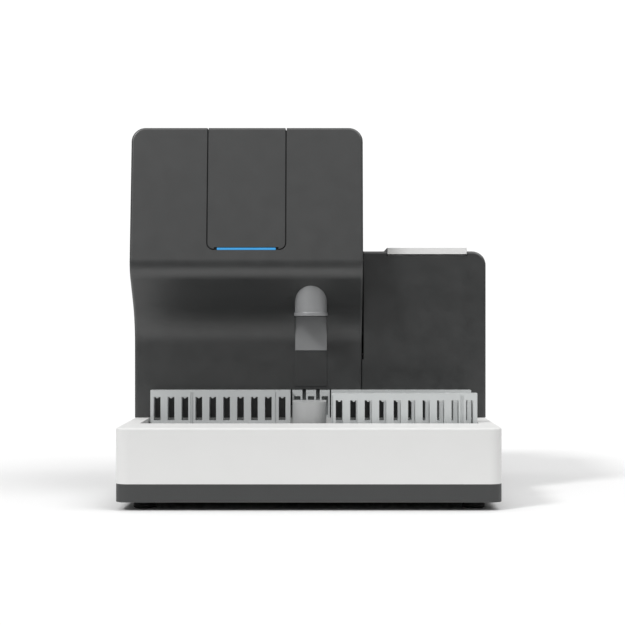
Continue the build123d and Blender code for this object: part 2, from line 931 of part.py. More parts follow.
def lift_bracket():
    bracket = block(
        bracket_x, bracket_x + bracket_sheet, carriage_y0, carriage_y1, lift_bottom, lift_top
    )
    bores = ((guide_y, rod_radius), (screw_y, screw_radius + running))
    for z0 in (lift_bottom, lift_top - frame_plate):
        bracket += block(
            bracket_x, probe_x + bracket_reach, carriage_y0, carriage_y1, z0, z0 + frame_plate
        )
        for y, radius in bores:
            bracket -= flat_rod((probe_x, y, z0), (0, 0, 1), radius, frame_plate, bore_sides)
    bracket -= flat_rod(
        (probe_x, probe_y, lift_bottom), (0, 0, 1), screw_radius, frame_plate, bore_sides
    )
    return bracket


def lift_rod():
    return upright(probe_x, guide_y, lift_bottom, lift_top, rod_radius)


def lift_screw():
    return upright(probe_x, screw_y, lift_bottom, lift_top + lift_screw_out, screw_radius)


def lift_motor():
    z0 = lift_top + lift_screw_out + seat_gap
    half = lift_motor_half
    motor = block(
        probe_x - half, probe_x + half, screw_y - half, screw_y + half, z0, z0 + motor_length
    )
    motor = chamfer(motor.edges().filter_by(Axis.Z), motor_edge)
    for x in (probe_x - half + 1.5, probe_x + half / 2 - 1):
        motor += block(
            x, x + bracket_sheet, screw_y - bracket_reach, screw_y + bracket_reach, lift_top, z0
        )
    return motor


arm_top = lift_top - frame_plate - 2.0
arm_x0 = upright_x + 3.0
arm_half = 8.0
arm_tail = 5.0
arm_edge = 1.5
sleeve_radius = 2.2


def probe_arm():
    z0 = arm_top - arm_height
    arm = block(
        arm_x0, probe_x + arm_half - 1, probe_y - arm_half, guide_y + arm_tail, z0, arm_top
    )
    arm = chamfer(arm.edges().filter_by(Axis.Z), arm_edge)
    for y, radius in (
        (guide_y, rod_radius + running), (screw_y, screw_radius + running),
        (probe_y, sleeve_radius),
    ):
        arm -= flat_rod((probe_x, y, z0), (0, 0, 1), radius, arm_height, bore_sides)
    return arm


def sample_probe():
    tip = hood_bottom + 3
    z0 = arm_top - arm_height
    sleeve = flat_rod(
        (probe_x, probe_y, z0), (0, 0, 1), sleeve_radius, arm_height / 2 + 4, bore_sides
    )
    return sleeve + upright(probe_x, probe_y, tip, z0, probe_radius)


# ---- probe hood, plate and column on the front
plate_proud = 2.0
column_proud = 1.2
column_foot = 4.0         # column above the niche
hood_wall = 2.5
lip_flare = 1.2
lip_height = 5.0
hood_cut = 12.0           # from the hood's open back to the lower panel
cutter = 10.0             # spare height of a cut


def hood_form(radius, z0, z1):
    """A column with a half-round front that reaches back into the slope."""
    front = upright(probe_x, hood_y, z0, z1, radius)
    back = block(probe_x - radius, probe_x + radius, hood_y, y_panel + wall, z0, z1)
    return front + back


def probe_hood():
    hood = hood_form(hood_radius, hood_bottom, hood_top + cutter)
    lip = hood_form(hood_radius + lip_flare, hood_bottom, hood_bottom + lip_height)
    hood += lip
    hood -= hood_form(hood_radius - hood_wall, hood_bottom - cutter, hood_top + cutter)
    hood -= tower_form(-seat_gap)
    hood -= block(
        x_left, x_right, y_panel - hood_cut, y_back, hood_bottom - cutter, hood_top + 2 * cutter
    )
    return hood


def probe_plate():
    return block(
        hood_x0, probe_x + hood_radius, y_panel - plate_proud, y_panel - seat_gap,
        plate_bottom, hood_bottom - seat_gap,
    )


def probe_column():
    return block(
        hood_x0, probe_x + hood_radius, y_panel - column_proud, y_panel - seat_gap,
        base_top + niche_height + column_foot, plate_bottom - seat_gap,
    )


# ---- reader block between the racks, and the three-column guide under the probe
reader_half = 23.4
reader_x = probe_x - 1.4
reader_front = feed_y + 4
reader_back = lane_y - 26
reader_height = 28.0
reader_z0 = tray_top + rest_gap
reader_round = 20.0
reader_edge = 1.5
reader_nose = 14.0        # solid behind the rounded front
pane_half = 12.0
pane_drop = 4.0           # pane below the base top
pane_height = 24.0
pane_gap = 0.1
pane_thickness = 2.0


def reader_housing():
    outline = [
        (reader_x - reader_half, reader_back), (reader_x - reader_half, reader_front),
        (reader_x + reader_half, reader_front), (reader_x + reader_half, reader_back),
    ]
    radii = [reader_edge, reader_round, reader_round, reader_edge]
    housing = plan_prism(outline, radii, reader_z0, base_top + reader_height)
    housing -= block(
        reader_x - reader_half + wall, reader_x + reader_half - wall,
        reader_front + reader_nose, reader_back - wall,
        reader_z0, base_top + reader_height - wall,
    )
    pane_z0 = base_top - pane_drop
    housing -= block(
        reader_x - pane_half, reader_x + pane_half, reader_back - wall, reader_back,
        pane_z0, pane_z0 + pane_height,
    )
    return housing


def reader_window():
    half = pane_half - pane_gap
    z0 = base_top - pane_drop + pane_gap
    y1 = reader_back - 2 * pane_gap
    return block(
        reader_x - half, reader_x + half, y1 - pane_thickness, y1,
        z0, z0 + pane_height - 2 * pane_gap,
    )


guide_height = 40.5
guide_depth = 18.0
guide_column = 14.6
guide_foot = 3.0
guide_back = 2.0
guide_web = 4.0           # solid behind a column's open front
guide_band = 9.5          # solid band over it
foot_half = 1.5 * place_pitch - 2.5


def tube_guide():
    """Three open-fronted columns on one foot, in a niche of the lower panel."""
    y0 = y_panel + 1
    y1 = y0 + guide_depth
    top = base_top + guide_height
    x0, x1 = probe_x - foot_half, probe_x + foot_half
    guide = block(x0, x1, y0, y1, base_top, base_top + guide_foot)
    guide += block(x0, x1, y1 - guide_back, y1, base_top, top)
    for i in (-1, 0, 1):
        x = probe_x + i * place_pitch
        column = block(x - guide_column / 2, x + guide_column / 2, y0, y1, base_top, top)
        column -= block(
            x - window_width / 2, x + window_width / 2, y0, y1 - guide_web,
            base_top + guide_foot, top - guide_band,
        )
        guide += column
    return guide


niche_half = foot_half + 1.0
niche_height = guide_height + 1.0


# ---- pushers, shuttle, rails and motors under the tray
rail_gap_z = chassis_top + 6
pusher_z0 = rail_gap_z + seat_gap
pusher_z1 = pusher_z0 + 8
finger_top = base_top - 10
finger_half = 2.5
feed_rail_half = 5.0
feed_rail_ends = (25.0, 30.0)
beam_reach = 12.0         # beam beyond the outer fingers
beam_depth = 10.0
shuttle_rail_y = (8.0, 18.0)
shuttle_rail_ends = (25.0, 15.0)
drop_z = base_top + 14
drop_finger = 10.0
drop_beam_depth = 8.0
drop_beam_height = 14.0
drop_rail_half = 3.0
drop_rail_front = y_panel + 16.0
drop_rail_back = gantry_back
drop_beam_y = rail_back_y + 24.0 + drop_travel


def feed_rails():
    rails = []
    for x in feed_slots_x:
        rails.append(
            block(
                x - feed_rail_half, x + feed_rail_half, feed_y - feed_rail_ends[0],
                feed_y + feed_travel + feed_rail_ends[1], chassis_top, rail_gap_z,
            )
        )
    rails.append(
        block(
            shuttle_x - lane_travel - shuttle_rail_ends[0], shuttle_x + shuttle_rail_ends[1],
            lane_centre + shuttle_rail_y[0], lane_centre + shuttle_rail_y[1],
            chassis_top, rail_gap_z,
        )
    )
    for x in drop_slots_x:
        rails.append(
            block(
                x - drop_rail_half, x + drop_rail_half, drop_rail_front, drop_rail_back,
                chassis_top, drop_z - seat_gap,
            )
        )
    return rails


def input_pusher():
    y1 = feed_y - slide_gap
    y0 = y1 - finger_thickness
    x0, x1 = feed_slots_x[0] - beam_reach, feed_slots_x[1] + beam_reach
    beam = block(x0, x1, y1 - beam_depth, y1, pusher_z0, pusher_z1)
    for x in feed_slots_x:
        beam += block(x - finger_half, x + finger_half, y0, y1, pusher_z1, finger_top)
    return beam


def output_pusher():
    x0, x1 = drop_slots_x[0] - beam_reach, drop_slots_x[1] + beam_reach
    beam = block(
        x0, x1, drop_beam_y, drop_beam_y + drop_beam_depth, drop_z, drop_z + drop_beam_height
    )
    for x in drop_slots_x:
        beam += block(
            x - finger_half, x + finger_half, lane_y + rack_width + slide_gap / 2,
            drop_beam_y, drop_z, drop_z + drop_finger,
        )
    return beam


shoe_reach = 6.0
peg_half = 3.0            # half the peg's length along the lane's width


def lane_shuttle():
    x0, x1 = shuttle_x - shuttle_half, shuttle_x + shuttle_half
    y0 = lane_centre - peg_half
    shoe = block(
        x0 - shoe_reach, x1 + shoe_reach, y0, lane_centre + shuttle_rail_y[1],
        pusher_z0, pusher_z1,
    )
    return shoe + block(
        x0, x1, y0, lane_centre + peg_half, pusher_z1, tray_top + notch_height - slide_gap
    )


feed_motor_size = (30.0, 24.0, 22.0)
feed_motor_places = [
    (feed_slots_x[0] + 60.0, feed_y - 38.0),
    (probe_x + 60.0, y_panel + 60.0),
    (probe_x - 151.0, y_panel + 60.0),
]


def feed_motors():
    motors = []
    across, along, tall = feed_motor_size
    for x, y in feed_motor_places:
        motor = block(
            x - across / 2, x + across / 2, y - along / 2, y + along / 2,
            chassis_top, chassis_top + tall,
        )
        motors.append(chamfer(motor.edges().filter_by(Axis.X), motor_edge))
    return motors


# ---- pump, power supply and board
pump_x = x_right - 105.0
pump_y = y_panel + 166.0
pump_z = chassis_top + 82.0
pump_half = (24.0, 30.0, 28.0)
pump_edge = 8.0
pump_pocket = 20.0        # radius of the pocket that the rollers turn in
pocket_depth = 16.0
pump_shaft = 4.0
shaft_length = 20.0
roller_turns = (0, 120, 240)
roller_radius = 5.0
roller_orbit = 13.0
roller_length = 9.0
rotor_hub = 9.0
hub_length = 12.0
rotor_arm = 3.0


def pump_body():
    x, y, z = pump_x, pump_y, pump_z
    half_x, half_y, half_z = pump_half
    body = block(x - half_x, x + half_x, y - half_y, y + half_y, z - half_z, z + half_z)
    body = chamfer(body.edges().filter_by(Axis.Y), pump_edge)
    front = y - half_y
    body -= flat_rod((x, front, z), (0, 1, 0), pump_pocket, pocket_depth, pocket_sides)
    body -= flat_rod(
        (x, front + pocket_depth, z), (0, 1, 0), pump_shaft + running, shaft_length, bore_sides
    )
    foot = pump_half[0] - 4.0
    return body + block(x - foot, x + foot, y - foot, y + foot, chassis_top, z - half_z)


pocket_sides = 16


def pump_rotor():
    x, z = pump_x, pump_z
    y0 = pump_y - pump_half[1] + rotor_arm
    hub = flat_rod((x, y0, z), (0, 1, 0), rotor_hub, hub_length, pocket_sides)
    hub += rod((x, y0 + hub_length, z), (0, 1, 0), pump_shaft, shaft_length)
    for turn in roller_turns:
        arm = block(-rotor_arm, rotor_arm, y0, y0 + rotor_arm, 0, roller_orbit + 2)
        hub += Pos(x, 0, z) * Rot(0, turn, 0) * arm
        roller = flat_rod(
            (0, y0 + rotor_arm, roller_orbit), (0, 1, 0), roller_radius, roller_length,
            bore_sides,
        )
        hub += Pos(x, 0, z) * Rot(0, turn, 0) * roller
    return hub


supply_size = (120.0, 100.0, 60.0)
supply_inset = (25.0, 30.0)       # from the right side and from the back
supply_slots = 6
supply_slot_pitch = 14.0
supply_slot_width = 4.0
supply_slot_depth = 2.0


def power_supply():
    across, along, tall = supply_size
    x1 = x_right - supply_inset[0]
    x0 = x1 - across
    y1 = y_back - supply_inset[1]
    y0 = y1 - along
    top = chassis_top + tall
    case = block(x0, x1, y0, y1, chassis_top, top)
    for i in range(supply_slots):
        y = y0 + motor_foot + i * supply_slot_pitch
        case -= block(
            x0 + pump_pocket, x1 - pump_pocket, y, y + supply_slot_width,
            top - supply_slot_depth, top,
        )
    return case


board_size = (170.0, 120.0, 1.6)
board_inset = (25.0, 20.0)        # from the left side and from the back
board_lift = 8.0
post_inset = 8.0
post_half = 3.0
board_parts = (               # from the board's corner: x, y, then width, depth, height
    (30.0, 40.0, 26.0, 26.0, 3.0), (80.0, 30.0, 18.0, 30.0, 4.0),
    (120.0, 60.0, 30.0, 14.0, 6.0), (40.0, 95.0, 50.0, 10.0, 9.0),
    (120.0, 102.0, 60.0, 10.0, 9.0),
)


def main_board():
    across, along, thick = board_size
    x0 = x_left + board_inset[0]
    y0 = y_back - board_inset[1] - along
    z0 = chassis_top + board_lift
    board = block(x0, x0 + across, y0, y0 + along, z0, z0 + thick)
    for x in (x0 + post_inset, x0 + across - post_inset):
        for y in (y0 + post_inset, y0 + along - post_inset):
            board += flat_rod((x, y, chassis_top), (0, 0, 1), post_half, board_lift, 6)
    for x, y, w, d, h in board_parts:
        board += block(
            x0 + x - w / 2, x0 + x + w / 2, y0 + y - d / 2, y0 + y + d / 2,
            z0 + thick, z0 + thick + h,
        )
    return board


# ---- rear panel and what is on it
fan_x, fan_z = cover_centre, height - 125.0
fan_half = 40.0
fan_radius = 37.0
fan_sides = 24
fan_depth = 25.0
fan_slots = range(-4, 5)
fan_slot_pitch = 8.0
fan_slot_half = 2.0
fan_slot_radius = 36.0
vent_count = 8
vent_pitch = 16.0
vent_half = 3.0
vent_x = x_right - 145.0
vent_z = (side_box_height - 110.0, side_box_height - 50.0)
inlet_x, inlet_z = x_right - 65.0, base_top + 51.5
inlet_half_x, inlet_half_z = 16.0, 24.0
ports_x, ports_z = x_left + 75.0, base_top + 61.5
ports_half_x, ports_half_z = 30.0, 9.0
fluid_x, fluid_z = probe_x + 8.85, base_top + 41.5
fluid_pitch = 22.0
fluid_hole = 5.0
fluid_ports_in = 3
fluid_inside = 8.0        # length of a fluid port behind the panel
fluid_bore = 2.5
fluid_nut = 8.0
fluid_nut_depth = 3.0
fit_gap = 0.2             # between a rear fitting and its hole
flange_lap = 4.0          # fitting's flange beyond its hole, behind the panel
screw_head = 3.0
screw_sunk = 1.2
screw_inset = 12.0
corner_inset = 24.0
fan_screw = 34.0
screw_spots = [
    (x_left + screw_inset, base_top + screw_inset),
    (x_left + screw_inset, side_box_height - side_opening * 2.5),
    (x_left + corner_inset, height - screw_inset),
    (x_tower - corner_inset, height - screw_inset),
    (x_right - screw_inset, base_top + screw_inset),
    (x_right - corner_inset, side_box_height - screw_inset),
    (fan_x - fan_screw, fan_z - fan_screw),
    (fan_x + fan_screw, fan_z + fan_screw),
    (fan_x - fan_screw, fan_z + fan_screw),
    (fan_x + fan_screw, fan_z - fan_screw),
]


def rear_panel():
    tower = front_prism(
        [(x_left, base_top), (x_tower, base_top), (x_tower, height), (x_left, height)],
        [0, 0, top_corner, top_corner], y_shell_back, y_back,
    )
    box_part = front_prism(
        [(x_tower, base_top), (x_right, base_top), (x_right, side_box_height),
         (x_tower, side_box_height)],
        [0, 0, top_corner, 0], y_shell_back, y_back,
    )
    panel = tower + box_part
    for i in fan_slots:
        z = fan_z + i * fan_slot_pitch
        half = (fan_slot_radius ** 2 - (i * fan_slot_pitch) ** 2) ** 0.5
        panel -= block(
            fan_x - half, fan_x + half, y_shell_back, y_back, z - fan_slot_half, z + fan_slot_half
        )
    for i in range(vent_count):
        x = vent_x + i * vent_pitch
        panel -= block(x - vent_half, x + vent_half, y_shell_back, y_back, vent_z[0], vent_z[1])
    for x, z, half_x, half_z in (
        (inlet_x, inlet_z, inlet_half_x, inlet_half_z),
        (ports_x, ports_z, ports_half_x, ports_half_z),
    ):
        panel -= block(x - half_x, x + half_x, y_shell_back, y_back, z - half_z, z + half_z)
    for i in range(fluid_ports_in):
        panel -= flat_rod(
            (fluid_x + i * fluid_pitch, y_shell_back, fluid_z), (0, 1, 0),
            fluid_hole, rear_thickness, bore_sides,
        )
    for x, z in screw_spots:
        panel -= flat_rod(
            (x, y_back - screw_sunk, z), (0, 1, 0), screw_head + fit_gap, screw_sunk, 6
        )
    return panel


hub_radius = 14.0
hub_sides = 16
strut_depth = 3.0
strut_half = 2.0
strut_turns = (45, 135, 225, 315)
axle_radius = 2.0


def fan_frame():
    y1 = y_shell_back
    y0 = y1 - fan_depth
    frame = block(
        fan_x - fan_half, fan_x + fan_half, y0, y1, fan_z - fan_half, fan_z + fan_half
    )
    frame -= flat_rod((fan_x, y0, fan_z), (0, 1, 0), fan_radius, fan_depth, fan_sides)
    frame += flat_rod((fan_x, y0, fan_z), (0, 1, 0), hub_radius, strut_depth, hub_sides)
    for turn in strut_turns:
        strut = block(
            hub_radius - 2, fan_radius + 1, y0, y0 + strut_depth, -strut_half, strut_half
        )
        frame += Pos(fan_x, 0, fan_z) * Rot(0, turn, 0) * strut
    frame -= flat_rod(
        (fan_x, y0, fan_z), (0, 1, 0), axle_radius + running, strut_depth, bore_sides
    )
    return frame


blade_size = (22.0, 1.6, 14.0)
blade_pitch = 38.0
blade_reach = 24.0        # from the axle to a blade's middle
blade_turns = range(0, 360, 45)
rotor_length = 18.0
axle_length = 4.0


def fan_rotor():
    y0 = y_shell_back - fan_depth + strut_depth + 1
    hub = flat_rod((fan_x, y0, fan_z), (0, 1, 0), hub_radius, rotor_length, hub_sides)
    hub += rod((fan_x, y0 - axle_length, fan_z), (0, 1, 0), axle_radius, axle_length)
    for turn in blade_turns:
        blade = Box(*blade_size)
        blade = Pos(blade_reach, y0 + rotor_length / 2, 0) * Rot(blade_pitch, 0, 0) * blade
        hub += Pos(fan_x, 0, fan_z) * Rot(0, turn, 0) * blade
    return hub


inlet_depth = 24.0
inlet_socket = 16.0
socket_half = 12.0
socket_z = (-20.0, -2.0)  # the socket, from the inlet's middle
pin_pitch = 7.0
pin_half = 1.0
pin_z = (-14.0, -9.0)
pin_back = 4.0            # pin ends this far inside
rocker_room = (10.0, 12.0)
rocker_room_z = (4.0, 20.0)


def power_inlet():
    y1 = y_back
    y_socket = y1 - inlet_socket
    body = block(
        inlet_x - inlet_half_x + fit_gap, inlet_x + inlet_half_x - fit_gap,
        y1 - inlet_depth, y1,
        inlet_z - inlet_half_z + fit_gap, inlet_z + inlet_half_z - fit_gap,
    )
    body += block(
        inlet_x - inlet_half_x - flange_lap, inlet_x + inlet_half_x + flange_lap,
        y_shell_back - flange, y_shell_back,
        inlet_z - inlet_half_z - flange_lap, inlet_z + inlet_half_z + flange_lap,
    )
    body -= block(
        inlet_x - socket_half, inlet_x + socket_half, y_socket, y1,
        inlet_z + socket_z[0], inlet_z + socket_z[1],
    )
    for x in (inlet_x - pin_pitch, inlet_x, inlet_x + pin_pitch):
        body += block(
            x - pin_half, x + pin_half, y_socket, y1 - pin_back,
            inlet_z + pin_z[0], inlet_z + pin_z[1],
        )
    body -= block(
        inlet_x - rocker_room[0], inlet_x + rocker_room[0], y1 - rocker_room[1], y1,
        inlet_z + rocker_room_z[0], inlet_z + rocker_room_z[1],
    )
    return body - flat_rod(
        (inlet_x - rocker_pin_reach - fit_gap, rocker_y, rocker_z), (1, 0, 0),
        rocker_pin + running, 2 * (rocker_pin_reach + fit_gap), bore_sides,
    )


rocker_z = inlet_z + 12
rocker_y = y_back - 5.0
rocker_turn = 8.0
rocker_size = (19.0, 6.0, 13.6)
rocker_offset = 0.5
rocker_edge = 1.0
rocker_pin = 1.0
rocker_pin_reach = 12.0


def power_rocker():
    rocker = Pos(0, rocker_offset, 0) * Box(*rocker_size)
    rocker = chamfer(rocker.edges().filter_by(Axis.X), rocker_edge)
    rocker = Pos(inlet_x, rocker_y, rocker_z) * Rot(rocker_turn, 0, 0) * rocker
    return rocker + rod(
        (inlet_x - rocker_pin_reach, rocker_y, rocker_z), (1, 0, 0),
        rocker_pin, 2 * rocker_pin_reach,
    )


ports_depth = 16.0
port_depth = 12.0
port_half_z = 5.5
port_sunk = 0.5
port_places = ((-20.0, 7.0), (0.0, 6.5), (19.0, 8.0))


def data_ports():
    y1 = y_back
    body = block(
        ports_x - ports_half_x + fit_gap, ports_x + ports_half_x - fit_gap,
        y1 - ports_depth, y1 - port_sunk,
        ports_z - ports_half_z + fit_gap, ports_z + ports_half_z - fit_gap,
    )
    body += block(
        ports_x - ports_half_x - flange_lap, ports_x + ports_half_x + flange_lap,
        y_shell_back - flange, y_shell_back,
        ports_z - ports_half_z - flange_lap, ports_z + ports_half_z + flange_lap,
    )
    for offset, half in port_places:
        x = ports_x + offset
        body -= block(
            x - half, x + half, y1 - port_depth, y1, ports_z - port_half_z, ports_z + port_half_z
        )
    return body


def fluid_ports():
    ports = []
    y0 = y_shell_back - fluid_inside
    length = rear_thickness + fluid_inside
    for i in range(fluid_ports_in):
        x = fluid_x + i * fluid_pitch
        port = flat_rod((x, y0, fluid_z), (0, 1, 0), fluid_hole - fit_gap, length, bore_sides)
        port += flat_rod(
            (x, y_shell_back - fluid_nut_depth, fluid_z), (0, 1, 0),
            fluid_nut, fluid_nut_depth, 6,
        )
        port -= flat_rod((x, y0, fluid_z), (0, 1, 0), fluid_bore, length, bore_sides)
        ports.append(port)
    return ports


def rear_screws():
    return [
        flat_rod((x, y_back - screw_sunk, z), (0, 1, 0), screw_head, screw_sunk, 6)
        for x, z in screw_spots
    ]


# ---- write every node
builders = {
    "rubber_feet": rubber_feet,
    "plinth_pan": plinth_pan,
    "base_housing": base_housing,
    "chassis_plate": chassis_plate,
    "rack_tray": rack_tray,
    "tower_shell": tower_shell,
    "side_box_shell": side_box_shell,
    "rear_panel": rear_panel,
    "access_cover": access_cover,
    "cover_frame": cover_frame,
    "cover_hinge_pin": cover_hinge_pin,
    "light_bar": light_bar,
    "strip_lid": strip_lid,
    "lid_hinge_pin": lid_hinge_pin,
    "strip_hopper": strip_hopper,
    "strip_drum": strip_drum,
    "drum_motor": drum_motor,
    "strip_rails": strip_rails,
    "strip_pusher": strip_pusher,
    "optical_head": optical_head,
    "waste_bin": waste_bin,
    "bin_stand": bin_stand,
    "gantry_plate": gantry_plate,
    "travel_rods": travel_rods,
    "travel_screw": travel_screw,
    "travel_motor": travel_motor,
    "probe_carriage": probe_carriage,
    "lift_bracket": lift_bracket,
    "lift_rod": lift_rod,
    "lift_screw": lift_screw,
    "lift_motor": lift_motor,
    "probe_arm": probe_arm,
    "sample_probe": sample_probe,
    "probe_hood": probe_hood,
    "probe_plate": probe_plate,
    "probe_column": probe_column,
    "reader_housing": reader_housing,
    "reader_window": reader_window,
    "tube_guide": tube_guide,
    "left_rack": lambda: rack(left_rack_x, lane_y),
    "right_front_rack": lambda: rack(right_rack_x, feed_y),
    "right_rear_rack": lambda: rack(right_rack_x, lane_y),
    "feed_rails": feed_rails,
    "input_pusher": input_pusher,
    "output_pusher": output_pusher,
    "lane_shuttle": lane_shuttle,
    "feed_motors": feed_motors,
    "pump_body": pump_body,
    "pump_rotor": pump_rotor,
    "power_supply": power_supply,
    "main_board": main_board,
    "fan_frame": fan_frame,
    "fan_rotor": fan_rotor,
    "power_inlet": power_inlet,
    "power_rocker": power_rocker,
    "data_ports": data_ports,
    "fluid_ports": fluid_ports,
    "rear_screws": rear_screws,
}

os.makedirs("parts", exist_ok=True)
for name, make in builders.items():
    made = make()
    solids = made if isinstance(made, list) else [made]
    shape = Compound(children=[Part(s.wrapped) for s in solids]) if len(solids) > 1 else solids[0]
    export_step(shape, f"parts/{name}.step")
    print(name)
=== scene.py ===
# %% [markdown]
# # A urine analyzer for the lab bench
# This notebook dresses a bench-top urine analyzer. The solids, their places and their joints
# come from a imported frame. Every piece made here lies on those solids and moves with them.
# A few fine lines, the colours and the lights are read from the photograph. All
# lengths are in metres, and MM turns a value in millimetres into one.

# %% The frame
import bpy
import bmesh
import json
import math
from mathutils import Matrix, Vector


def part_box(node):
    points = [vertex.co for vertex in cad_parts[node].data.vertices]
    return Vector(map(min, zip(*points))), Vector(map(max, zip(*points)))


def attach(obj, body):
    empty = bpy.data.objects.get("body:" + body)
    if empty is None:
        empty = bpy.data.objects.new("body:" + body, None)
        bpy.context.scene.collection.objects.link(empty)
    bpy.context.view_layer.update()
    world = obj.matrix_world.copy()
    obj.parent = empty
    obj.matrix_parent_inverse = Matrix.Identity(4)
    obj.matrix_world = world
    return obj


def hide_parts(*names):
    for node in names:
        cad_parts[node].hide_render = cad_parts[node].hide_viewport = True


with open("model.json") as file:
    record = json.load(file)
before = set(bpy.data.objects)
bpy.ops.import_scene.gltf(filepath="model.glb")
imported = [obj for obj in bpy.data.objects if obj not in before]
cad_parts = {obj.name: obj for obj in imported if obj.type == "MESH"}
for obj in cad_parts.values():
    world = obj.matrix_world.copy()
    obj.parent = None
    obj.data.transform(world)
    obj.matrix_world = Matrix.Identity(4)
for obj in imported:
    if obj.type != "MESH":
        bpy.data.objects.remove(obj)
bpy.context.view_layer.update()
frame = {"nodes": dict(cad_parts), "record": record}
MM = 0.001
bodies = frame["record"]["behaviour"]["bodies"]
body_of = {node: body for body, nodes in bodies.items() for node in nodes}
slot_of = {row["node"]: row["material_slot"] for row in frame["record"]["subparts"]}

# %% [markdown]
# ## Helpers
# A colour is written as the hex value that a paint chart would give, which is sRGB. Shaders
# want linear light, so one function converts. Another adds a node to a tree together with
# its settings and its links, because a tree built in a script is mostly that one step.

# %% Colour and nodes


def linear(code):
    """An sRGB hex colour as linear RGBA."""
    parts = [int(code[i:i + 2], 16) / 255 for i in (1, 3, 5)]
    return [c / 12.92 if c <= 0.04045 else ((c + 0.055) / 1.055) ** 2.4 for c in parts] + [1.0]


def add(tree, kind, inputs=None, **settings):
    """One node with its settings. An input is a value, or an output to link from."""
    node = tree.nodes.new(kind)
    for key, value in settings.items():
        setattr(node, key, value)
    for key, value in (inputs or {}).items():
        if isinstance(value, bpy.types.NodeSocket):
            tree.links.new(value, node.inputs[key])
        else:
            node.inputs[key].default_value = value
    return node


print("black to white:", linear("#000000")[0], linear("#FFFFFF")[0])

# %% [markdown]
# ## Finishes
# Most of the outside is moulded ABS. Its mould is spark-eroded, which leaves a fine, even
# grain, and large mouldings drift a little in colour and gloss where the plastic cooled at a
# different speed. A flat colour shows none of that. A recipe of three noises does: a slow one
# moves the colour, a middle one moves the roughness, and a fine one raises the grain. Real
# grain is finer than this picture can show, so it is drawn coarser.

# %% The recipe


def finish(name, colours, rough, grain, relief, drift=60.0, metallic=0.0, ior=None, coat=0.0,
           shine=0.5):
    """A finish from two near colours, a range of roughness and a grain size in mm."""
    material = bpy.data.materials.new(name)
    material.use_nodes = True
    tree = material.node_tree
    shader = tree.nodes["Principled BSDF"]
    shader.inputs["Metallic"].default_value = metallic
    shader.inputs["Coat Weight"].default_value = coat
    shader.inputs["Specular IOR Level"].default_value = shine
    if ior:
        shader.inputs["IOR"].default_value = ior
    place = add(tree, "ShaderNodeTexCoord").outputs["Object"]
    slow = add(tree, "ShaderNodeTexNoise", {
        "Vector": place, "Scale": 1000 / drift, "Detail": 2.0})
    colour = add(tree, "ShaderNodeMix", {"Factor": slow.outputs["Fac"]}, data_type="RGBA")
    colour.inputs["A"].default_value = linear(colours[0])
    colour.inputs["B"].default_value = linear(colours[1])
    tree.links.new(colour.outputs["Result"], shader.inputs["Base Color"])
    middle = add(tree, "ShaderNodeTexNoise", {
        "Vector": place, "Scale": 1000 / (drift * 0.35), "Detail": 4.0})
    gloss = add(tree, "ShaderNodeMapRange", {
        "Value": middle.outputs["Fac"], "From Min": 0.3, "From Max": 0.7,
        "To Min": rough[0], "To Max": rough[1]})
    tree.links.new(gloss.outputs["Result"], shader.inputs["Roughness"])
    fine = add(tree, "ShaderNodeTexNoise", {
        "Vector": place, "Scale": 1000 / grain, "Detail": 3.0, "Roughness": 0.6})
    bump = add(tree, "ShaderNodeBump", {
        "Height": fine.outputs["Fac"], "Strength": relief, "Distance": 0.0002})
    tree.links.new(bump.outputs["Normal"], shader.inputs["Normal"])
    return material


# %% [markdown]
# Each finish is named for what the real surface is. The plastics keep an index of
# refraction near 1.5, and the metals keep Blender's own default.

